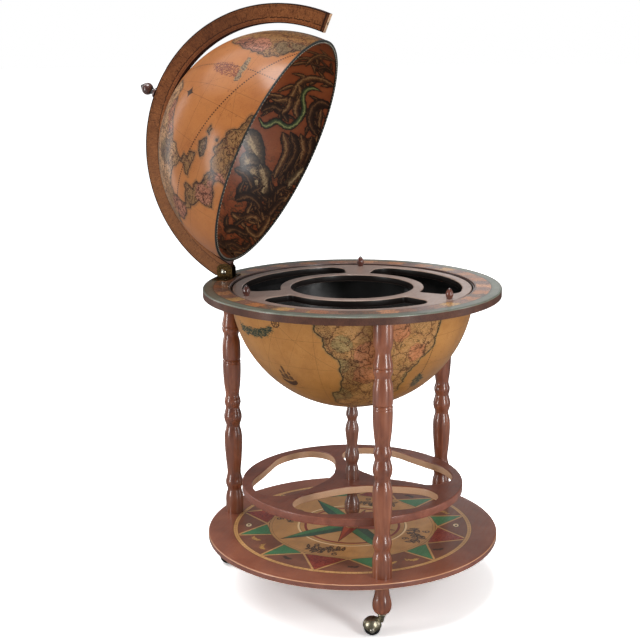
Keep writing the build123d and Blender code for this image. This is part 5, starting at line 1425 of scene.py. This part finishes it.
# --------------------------------------------------- lining of the lid: leafy scrolls over rocks
def lining_material():
    s = Shade("lining_print_varnish", roughness=0.4, coat=0.3, coat_rough=0.22, specular=0.45)
    p = s.vattr("place")
    wide = s.noise(p, 0.010, 3.0, 0.55, 0.6)
    mid = s.noise(p, 0.05, 4.0, 0.62, 0.6)
    small = s.noise(p, 0.16, 4.0, 0.65, 0.4)
    fine = s.noise(p, 0.4, 4.0, 0.65, 0.3)
    ragged = s.mul(s.m("SUBTRACT", s.noise(p, 0.22, 4.0, 0.7), 0.5), 6.5)
    edge, across = s.add(s.attr("edge"), ragged), s.attr("across")
    tone = s.add(s.mul(wide, 0.4), s.mul(mid, 0.35), s.mul(fine, 0.25))
    ground = s.ramp(tone, [(0.36, "76391e"), (0.5, "8c4927"), (0.66, "9e5832")])
    # forms are modelled by streaks that follow them: dark along one side, a pale light near the other
    u = s.step(s.add(across, s.mul(s.m("SUBTRACT", small, 0.5), 1.5)), -1.0, 1.0)
    bark = s.ramp(u, [(0.0, "301d13"), (0.26, "5c3b25"), (0.48, "7c5433"), (0.64, "9c744a"), (0.72, "b38a5c"), (0.82, "6e482c"), (1.0, "3a2518")])
    green = s.ramp(u, [(0.0, "1b1f14"), (0.24, "3c4a2f"), (0.5, "637344"), (0.68, "afb16e"), (0.8, "6f7a48"), (1.0, "24281c")])
    dark = s.ramp(u, [(0.0, "24160e"), (0.4, "3c2619"), (0.6, "5c3f2a"), (0.72, "946b46"), (0.8, "4a2e1d"), (1.0, "2a1b12")])
    rock = s.ramp(u, [(0.0, "2f2117"), (0.3, "695239"), (0.52, "9b805d"), (0.68, "c9ad80"), (0.82, "866b4d"), (1.0, "3b2a1d")])
    shape = s.mix(s.step(s.attr("is_green"), 0.45, 0.55), bark, green)
    shape = s.mix(s.step(s.attr("is_dark"), 0.45, 0.55), shape, dark)
    shape = s.mix(s.step(s.attr("is_rock"), 0.45, 0.55), shape, rock)
    hatch = s.line(s.m("PINGPONG", s.add(s.mul(across, 5.0), s.mul(small, 9.0)), 1.0), 0.34, 0.25)
    shape = s.mix(s.mul(hatch, 0.42), shape, "1c120b")
    knots = s.step(s.noise(p, 0.34, 4.0, 0.7), 0.53, 0.6)
    shape = s.mix(s.mul(knots, 0.3), shape, "24170e")
    # painted shade: dark tangled marks gather more thickly towards the hinge side, +X and the rim
    depth = s.step(s.add(s.attr("inner_shade"), s.mul(s.m("SUBTRACT", mid, 0.5), 1.1)), 0.30, 1.0)
    tangle = s.step(s.noise(p, 0.085, 5.0, 0.7, 1.2), 0.50, 0.535)
    ground = s.mix(s.mul(tangle, depth), ground, s.mix(s.step(fine, 0.46, 0.58), "1a100b", "5a4128"))
    near = s.mul(s.step(edge, 6.0, 0.5), 0.16)
    ground = s.mix(near, ground, "3a1c10")
    c = s.mix(s.under(edge, 0.0, 0.5), ground, shape)
    c = s.mix(s.mul(s.line(edge, 0.85, 0.5), 0.9), c, "1a0f0a")
    c = s.mix(s.mul(s.step(s.noise(p, 0.8, 4.0, 0.7), 0.6, 0.7), 0.25), c, "6e4026")
    s.colour(c)
    s.rough(s.step(tone, 0.35, 0.7, 0.36, 0.48))
    s.bump(fine, 0.05, 0.0004)
    return s.mat


def ribbon(points, w0, w1, n=60):
    """Smooth line with a width that goes from w0 to w1 and tapers at both ends."""
    c_ = spline(np.asarray(points, float) * 240.0, 6.0)
    tt = np.r_[0, np.cumsum(np.linalg.norm(np.diff(c_, axis=0), axis=1))]
    tt = tt / tt[-1]
    w_ = (w0 + (w1 - w0) * tt) * np.clip(np.sin(np.pi * np.clip(tt, 0.02, 0.98)) * 3.0, 0.18, 1.0)
    return c_, w_


def whorl(x, y, r0, turns, start, hand, w0, w1):
    t_ = np.linspace(0, 1, 40)
    a = math.radians(start) + hand * 2 * np.pi * turns * t_
    r = r0 * (1 - 0.86 * t_**0.9)
    c_ = np.stack([x * 240 + r * np.cos(a), y * 240 + r * np.sin(a)], 1)
    return c_, w0 + (w1 - w0) * t_


def fronds(c_, w_, g, count, reach):
    """Leaves that spring from both sides of a stem."""
    out = []
    for k in range(count):
        i = int((k + 0.6) / count * (len(c_) - 3)) + 1
        d = c_[i + 1] - c_[i - 1]
        d = d / np.linalg.norm(d)
        side = 1 if k % 2 else -1
        nrm = np.array([-d[1], d[0]]) * side
        L = reach * g.uniform(0.7, 1.25)
        s0 = c_[i] + nrm * w_[i] * 0.4
        p1 = s0 + (d * 0.5 + nrm * 0.6) * L * 0.5
        p2 = s0 + (d * 0.95 + nrm * 0.75) * L
        tt = np.linspace(0, 1, 9)[:, None]
        line = (1 - tt)**2 * s0 + 2 * tt * (1 - tt) * p1 + tt**2 * p2
        wid = reach * 0.17 * np.sin(np.pi * np.clip(tt[:, 0] * 0.85 + 0.12, 0, 1))
        out.append((line, wid))
    return out


g = np.random.default_rng(41)
SHAPES = []   # (centre line, half width, kind), later ones lie on top


def add(shape, kind, leaves=0, reach=0.0, leaf_kind=None):
    c_, w_ = shape
    if leaves:
        for f_ in fronds(c_, w_, g, leaves, reach):
            SHAPES.append((f_[0], f_[1], kind if leaf_kind is None else leaf_kind))
    SHAPES.append((c_, w_, kind))


# the print's own things: kind 0 bark and dry leaves, 1 green ribbon, 2 dark foliage, 3 rock
VIEW = [
    # rocks and the stem that leaves them
    ([(0.511, 0.109), (0.565, 0.184), (0.582, 0.285)], 15, 12, 3, 0, 0),
    ([(0.514, 0.241), (0.57, 0.326), (0.615, 0.439)], 16, 13, 3, 0, 0),
    ([(0.617, 0.295), (0.647, 0.394), (0.606, 0.508)], 12, 9, 3, 5, 20),
    ([(0.44, 0.312), (0.51, 0.341), (0.545, 0.421), (0.55, 0.526)], 7, 5, 2, 6, 22),
    # tall drooping leaves
    ([(0.709, 0.032), (0.769, 0.125), (0.756, 0.243), (0.706, 0.362)], 9, 6, 0, 0, 0),
    ([(0.929, -0.029), (0.96, 0.1), (0.931, 0.236), (0.861, 0.37)], 10, 7, 2, 4, 26),
    ([(0.838, -0.005), (0.903, 0.101), (0.879, 0.246), (0.795, 0.408)], 10, 6, 0, 0, 0),
    ([(0.762, 0.011), (0.84, 0.121), (0.813, 0.257), (0.738, 0.393)], 9, 6, 2, 0, 0),
    ([(0.804, 0.425), (0.884, 0.333), (0.935, 0.254)], 10, 7, 3, 7, 20),
    ([(0.643, 0.647), (0.744, 0.577), (0.839, 0.49)], 9, 7, 0, 7, 20),
    # dense undergrowth
    ([(0.413, 0.51), (0.505, 0.491), (0.567, 0.553), (0.573, 0.652)], 8, 6, 2, 8, 26),
    ([(0.608, 0.5), (0.681, 0.541), (0.737, 0.459), (0.812, 0.425)], 9, 6, 2, 8, 24),
    ([(0.347, 0.598), (0.4, 0.659), (0.488, 0.652), (0.546, 0.726)], 8, 6, 0, 8, 26),
    ([(0.552, 0.611), (0.599, 0.678), (0.685, 0.616), (0.773, 0.551)], 9, 6, 2, 8, 24),
    ([(0.202, 0.73), (0.305, 0.729), (0.354, 0.798), (0.444, 0.782)], 9, 6, 2, 8, 26),
    ([(0.4, 0.726), (0.423, 0.848), (0.536, 0.79), (0.632, 0.685)], 9, 7, 0, 8, 26),
    ([(0.041, 0.839), (0.167, 0.854), (0.194, 0.921), (0.318, 0.899)], 9, 7, 2, 8, 24),
    ([(-0.098, 0.948), (0.1, 0.946), (0.157, 1.007)], 8, 7, 0, 6, 22),
    # branches, and the ribbon that winds over them
    ([(0.581, -0.795), (0.502, -0.741), (0.508, -0.623), (0.549, -0.504)], 6, 4, 0, 8, 24),
    ([(0.716, -0.651), (0.635, -0.652), (0.623, -0.558)], 5, 4, 2, 6, 20),
    ([(0.837, -0.572), (0.713, -0.513), (0.643, -0.425), (0.632, -0.324), (0.643, -0.213), (0.594, -0.157), (0.536, -0.148)], 8, 5.5, 0, 9, 24),
    ([(0.942, -0.366), (0.841, -0.328), (0.828, -0.224), (0.874, -0.124), (0.975, -0.062)], 9, 7, 2, 7, 24),
    ([(0.53, -0.054), (0.577, -0.109), (0.655, -0.096), (0.712, -0.054)], 6, 4, 2, 5, 16),
    ([(0.642, -0.334), (0.704, -0.26), (0.715, -0.173), (0.764, -0.114)], 7.5, 5.5, 0, 0, 0),
    ([(0.644, -0.224), (0.668, -0.143), (0.652, -0.087)], 6, 4.5, 0, 0, 0),
    ([(0.53, -0.008), (0.588, 0.025), (0.636, -0.027), (0.72, -0.018), (0.774, -0.093), (0.764, -0.206), (0.702, -0.289), (0.709, -0.38), (0.791, -0.423)], 5.2, 4.6, 1, 0, 0),
]
MORE = [
    ([(0.30, 0.42), (0.22, 0.25), (0.26, 0.06), (0.40, -0.05)], 8, 6, 0, 8, 26),
    ([(0.34, -0.52), (0.20, -0.42), (0.16, -0.24), (0.26, -0.12)], 8, 6, 2, 8, 26),
    ([(0.34, -0.80), (0.20, -0.70), (0.10, -0.55)], 8, 6, 0, 7, 24),
    ([(0.05, 0.62), (0.02, 0.45), (0.10, 0.30)], 10, 7, 3, 6, 22),
    ([(0.14, 0.12), (0.06, 0.02), (0.10, -0.12)], 6, 4, 1, 0, 0),
    ([(0.06, -0.98), (-0.02, -0.84), (0.02, -0.70)], 9, 6, 2, 7, 24),
    ([(0.88, -0.30), (0.94, -0.16), (0.99, 0.02)], 5, 4, 0, 4, 14),
]
for turn_ in (0, 180):
    c_t, s_t = math.cos(math.radians(turn_)), math.sin(math.radians(turn_))
    for line_, w0, w1, kd, leaves_, reach_ in MORE + VIEW:
        pl = [(x * c_t - y * s_t, x * s_t + y * c_t) for x, y in line_]
        add(ribbon(pl, w0, w1), kd, leaves_, reach_, 2 if kd == 3 else None)

v, q, t = globe_shell(241.4, 241.0, math.asin(1.2 / 241.4), math.pi / 2, 26, 134, 616, True)
me = mesh_from("lining_printed", opened(v + np.array([0, 0, SPHERE_Z])), q, t)
units = v / np.linalg.norm(v, axis=1)[:, None]
inn = np.linalg.norm(v, axis=1) < 241.2
uv = to_plane(units[inn]) * 240.0
outline = np.full(len(uv), 30.0)
filled = np.zeros(len(uv), bool)
across = np.zeros(len(uv))
kind = np.zeros(len(uv), int)
for c_, w_, kd in SHAPES:
    lo, hi = c_.min(0) - w_.max() - 14, c_.max(0) + w_.max() + 14
    k = np.where((uv[:, 0] > lo[0]) & (uv[:, 0] < hi[0]) & (uv[:, 1] > lo[1]) & (uv[:, 1] < hi[1]))[0]
    if not len(k):
        continue
    pk = uv[k]
    bk, lk = np.full(len(k), 1e9), np.zeros(len(k))
    for i in range(len(c_) - 1):
        a, b = c_[i], c_[i + 1]
        d_ = b - a
        tt = np.clip(((pk - a) @ d_) / (float(d_ @ d_) + 1e-9), 0, 1)
        e = pk - a - tt[:, None] * d_
        dist = np.linalg.norm(e, axis=1)
        side = np.sign(d_[0] * e[:, 1] - d_[1] * e[:, 0])
        w = w_[i] + (w_[i + 1] - w_[i]) * tt
        m_ = dist - w < bk
        bk = np.where(m_, dist - w, bk)
        lk = np.where(m_, side * dist / np.maximum(w, 0.5), lk)
    hit = bk < 0
    outline[k] = np.where(hit, -bk, np.minimum(outline[k], bk))
    filled[k[hit]] = True
    across[k[hit]] = lk[hit]
    kind[k[hit]] = kd
    fresh = ~hit & ~filled[k] & (bk < 5)
    across[k[fresh]] = np.clip(lk[fresh], -1.4, 1.4)
    kind[k[fresh]] = kd


def inner_floats(name, values, away=0.0):
    full = np.full(len(v), away)
    full[inn] = values
    floats(me, name, full)


inner_floats("edge", np.where(filled, -outline, outline), 30.0)
inner_floats("across", across)
for name, kd in (("is_green", 1), ("is_dark", 2), ("is_rock", 3)):
    inner_floats(name, (kind == kd).astype(float))
# painted shade: this weight grows towards the hinge side, +X and the rim
inner_floats("inner_shade", np.clip(0.30 + 0.55 * uv[:, 1] / 240 + 0.10 * uv[:, 0] / 240 + 0.15 * (np.linalg.norm(uv, axis=1) / 240)**3, 0, 1))
vectors(me, "place", v)
smooth(me, 32)
piece("lining_printed", me, "lid", lining_material(), ("lid_lining",))


# ------------------------------------------------- rim trim, linings and metal
def trim_material():
    s = Shade("rim_trim_paint", roughness=0.46, coat=0.04, coat_rough=0.25, specular=0.22)
    p = s.shut()
    x, y, z = s.xyz(p)
    r = s.vm("LENGTH", s.vec(x, y, 0.0))
    ang = s.mul(s.m("ARCTAN2", y, x), 180 / math.pi)
    f = s.noise(p, 0.4, 3.0, 0.6)
    c = s.ramp(f, [(0.35, "0e1111"), (0.55, "171b1b"), (0.75, "24292a")])
    # painted highlight: a pale line along the outer edge of the rim face
    c = s.mix(s.mul(s.line(r, 0.5, 0.3, at=245.9), s.under(z, 0.9, 0.2), 0.4), c, "5f625a")
    dots = s.line(s.m("PINGPONG", ang, 1.0), 0.34, 0.1)
    c = s.mix(s.mul(dots, s.between(r, 240.2, 242.4, 0.25), s.under(z, 1.2, 0.3), 0.9), c, "c9c2ad")
    s.colour(c)
    s.rough(s.step(f, 0.3, 0.7, 0.34, 0.48))
    s.bump(f, 0.08, 0.0003)
    return s.mat


trim = [(240.16, 646.5), (246.2, 646.5), (246.5, 646.8), (246.5, 648.5), (246.25, 648.75), (246.02, 648.75), (246.02, 647.7), (240.94, 647.7),
        (240.94, 649.2), (240.5, 649.4), (240.1, 649.1), (240.1, 646.56)]
v, q, t = lathe(np.array(trim), 720, closed=True)
me = mesh_from("trim_turned", opened(v), q, t)
smooth(me, 50)
piece("trim_turned", me, "lid", trim_material(), ("lid_rim_trim",))

BLACK = matt("lining_black", "0e0e0e", "1b1a1a", 0.38, 0.05, coat=0.2)
v, q, t = globe_shell(246.4, 245.5, math.asin(15.5 / 246.4), math.pi / 2, 40, 90, 360, False)
me = mesh_from("bowl_lining_smooth", v + np.array([0, 0, SPHERE_Z]), q, t)
smooth(me, 32)
piece("bowl_lining_smooth", me, "stand", BLACK, ("bowl_lining",))


def dress(mat, *nodes):
    for n in nodes:
        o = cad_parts[n]
        o.data.materials.clear()
        o.data.materials.append(mat)


dress(BLACK, "board_ledge")
dress(matt("bowl_floor_black", "1d1c1b", "343230", 0.38, 0.04, coat=0.3), "bowl_floor")
BRASS = metal("antique_brass", "7d6134", "3d2c17", "b8955a", 0.30, 0.22)
BRONZE = metal("antique_bronze", "4c3a22", "231a10", "75592f", 0.34, 0.25)
HOOD = metal("pale_antique_brass", "b2aa92", "6f6a58", "e2dac6", 0.31, 0.16)
RIVET = metal("pale_rivet_steel", "c9c4b6", "8b8678", "ece8dc", 0.24, 0.5)
STEEL = metal("zinc_steel", "8f8f8c", "5c5c5a", "b4b4b0", 0.34, 0.5)
dress(BRONZE, "hinge_bracket", "hinge_screws", "tongue_screws", "pole_bolt")
dress(RIVET, "hinge_pin", "hinge_bush")
dress(STEEL, "tie_rod", "tie_rod_nuts", "leg_studs", "caster_sockets", "knob_screws")
TONGUE = lacquer("tongue_stain", "2a120c", "4a2418", "603222", groove_shade=False, along="all")
dress(TONGUE, "hinge_tongue", "pole_spacer")
RUBBER = matt("wheel_rubber", "0a0a0a", "1a1918", 0.46, 0.3)
for a in LEG_AZ:
    dress(STEEL, f"caster_stem_{a}")
    dress(HOOD, f"caster_hood_{a}")
    dress(RIVET, f"caster_axle_{a}")
    dress(RUBBER, f"caster_wheel_{a}")

# ------------------------------------------------------------ floor and light
disc = [(0.0, 0.0)] + [(r, 0.0) for r in np.geomspace(400, 40000, 24)]
v, q, t = lathe(np.array(disc), 96)
me = mesh_from("floor", v[:, [0, 1, 2]], q, [t_[:, ::-1] for t_ in t])
smooth(me)
fl = Shade("floor_pale", roughness=0.8, specular=0.0)
fl.colour(fl.ramp(fl.noise(fl.pos(), 0.004, 2.0, 0.5), [(0.3, "f2f1f0"), (0.7, "f6f5f4")]))
# a white cyclorama: what the camera sees of the floor is lifted, and polished wood doesn't mirror it at full strength
glow = fl.node("ShaderNodeEmission")
glow.inputs["Color"].default_value = (1.0, 1.0, 1.0, 1.0)
glow.inputs["Strength"].default_value = 0.10
again = fl.node("ShaderNodeBsdfDiffuse")
again.inputs["Color"].default_value = (0.93, 0.93, 0.93, 1.0)
dim = fl.node("ShaderNodeBsdfDiffuse")
dim.inputs["Color"].default_value = (0.20, 0.20, 0.20, 1.0)
path = fl.node("ShaderNodeLightPath")
twice, glowing, lift = fl.node("ShaderNodeAddShader"), fl.node("ShaderNodeAddShader"), fl.node("ShaderNodeMixShader")
fl.t.links.new(fl.bsdf.outputs[0], twice.inputs[0])
fl.t.links.new(again.outputs[0], twice.inputs[1])
fl.t.links.new(twice.outputs[0], glowing.inputs[0])
fl.t.links.new(glow.outputs[0], glowing.inputs[1])
fl.t.links.new(path.outputs["Is Camera Ray"], lift.inputs[0])
fl.t.links.new(fl.bsdf.outputs[0], lift.inputs[1])
fl.t.links.new(glowing.outputs[0], lift.inputs[2])
mirror = fl.node("ShaderNodeMixShader")
fl.t.links.new(path.outputs["Is Glossy Ray"], mirror.inputs[0])
fl.t.links.new(lift.outputs[0], mirror.inputs[1])
fl.t.links.new(dim.outputs[0], mirror.inputs[2])
out_ = [n for n in fl.t.nodes if n.bl_idname == "ShaderNodeOutputMaterial"][0]
fl.t.links.new(mirror.outputs[0], out_.inputs[0])
floor = bpy.data.objects.new("floor", me)
me.materials.append(fl.mat)
scene.collection.objects.link(floor)

world = bpy.data.worlds.new("studio")
scene.world = world
world.use_nodes = True
wt = world.node_tree
wt.nodes.clear()
wo = wt.nodes.new("ShaderNodeOutputWorld")
bg_light = wt.nodes.new("ShaderNodeBackground")
bg_light.inputs[0].default_value = (1.0, 1.0, 1.0, 1.0)
bg_light.inputs[1].default_value = 0.32
bg_seen = wt.nodes.new("ShaderNodeBackground")
bg_seen.inputs[0].default_value = (1.0, 1.0, 1.0, 1.0)
bg_seen.inputs[1].default_value = 1.0
lp = wt.nodes.new("ShaderNodeLightPath")
mx = wt.nodes.new("ShaderNodeMixShader")
wt.links.new(lp.outputs["Is Camera Ray"], mx.inputs[0])
wt.links.new(bg_light.outputs[0], mx.inputs[1])
wt.links.new(bg_seen.outputs[0], mx.inputs[2])
bg_shine = wt.nodes.new("ShaderNodeBackground")
bg_shine.inputs[0].default_value = (1.0, 1.0, 1.0, 1.0)
bg_shine.inputs[1].default_value = 0.16
mg = wt.nodes.new("ShaderNodeMixShader")
wt.links.new(lp.outputs["Is Glossy Ray"], mg.inputs[0])
wt.links.new(mx.outputs[0], mg.inputs[1])
wt.links.new(bg_shine.outputs[0], mg.inputs[2])
wt.links.new(mg.outputs[0], wo.inputs[0])

CAM = Vector((-2.4828, -0.7924, 1.1596))
F = Vector((0.92164, 0.32014, -0.21930)).normalized()
R = F.cross(Vector((0, 0, 1))).normalized()
U = R.cross(F)
roll = -0.00672
R2 = R * math.cos(roll) + U * math.sin(roll)
U2 = U * math.cos(roll) - R * math.sin(roll)
cam_data = bpy.data.cameras.new("camera")
cam_data.lens = 72.596
cam_data.sensor_width = 36.0
cam_data.clip_start, cam_data.clip_end = 0.05, 200.0
cam = bpy.data.objects.new("camera", cam_data)
m_ = Matrix((R2, U2, -F)).transposed().to_4x4()
m_.translation = CAM
cam.matrix_world = m_
scene.collection.objects.link(cam)
scene.camera = cam

heading = math.degrees(math.atan2(F.y, F.x))     # direction the camera looks, seen from above


def softbox(name, turn, distance, height, width, tall, power, aim=(0, 0, 0.55)):
    """A soft light that stands at an angle from the camera, seen from above, to its left if the turn is positive."""
    a = math.radians(heading + 180 - turn)
    place_ = Vector((distance * math.cos(a), distance * math.sin(a), height))
    d = bpy.data.lights.new(name, "AREA")
    d.shape = "RECTANGLE"
    d.size, d.size_y = width, tall
    d.energy = power
    o = bpy.data.objects.new(name, d)
    o.location = place_
    o.rotation_mode = "QUATERNION"
    o.rotation_quaternion = (Vector(aim) - place_).to_track_quat("-Z", "Y")
    scene.collection.objects.link(o)
    return o


softbox("box_side", 118, 2.3, 1.0, 0.4, 1.9, 7)
softbox("box_left", 64, 2.5, 0.85, 0.34, 1.7, 24)
softbox("box_far", -86, 2.3, 0.9, 0.45, 1.8, 10)
softbox("box_back", -170, 6.0, 1.80, 0.9, 0.8, 2.2)
softbox("box_right", -38, 2.6, 1.0, 0.36, 2.0, 34)
softbox("box_top", 12, 0.5, 3.2, 1.0, 1.0, 50, (0, 0.2, 1.0))
sun = bpy.data.lights.new("overhead", "SUN")
sun.energy = 1.2
sun.angle = math.radians(50)
so = bpy.data.objects.new("overhead", sun)
a = math.radians(heading + 180 - 120)
so.rotation_mode = "QUATERNION"
so.rotation_quaternion = (-Vector((0.55 * math.cos(a), 0.55 * math.sin(a), 1.0))).to_track_quat("-Z", "Y")
scene.collection.objects.link(so)
scene.view_settings.view_transform = "Standard"
scene.view_settings.look = "None"
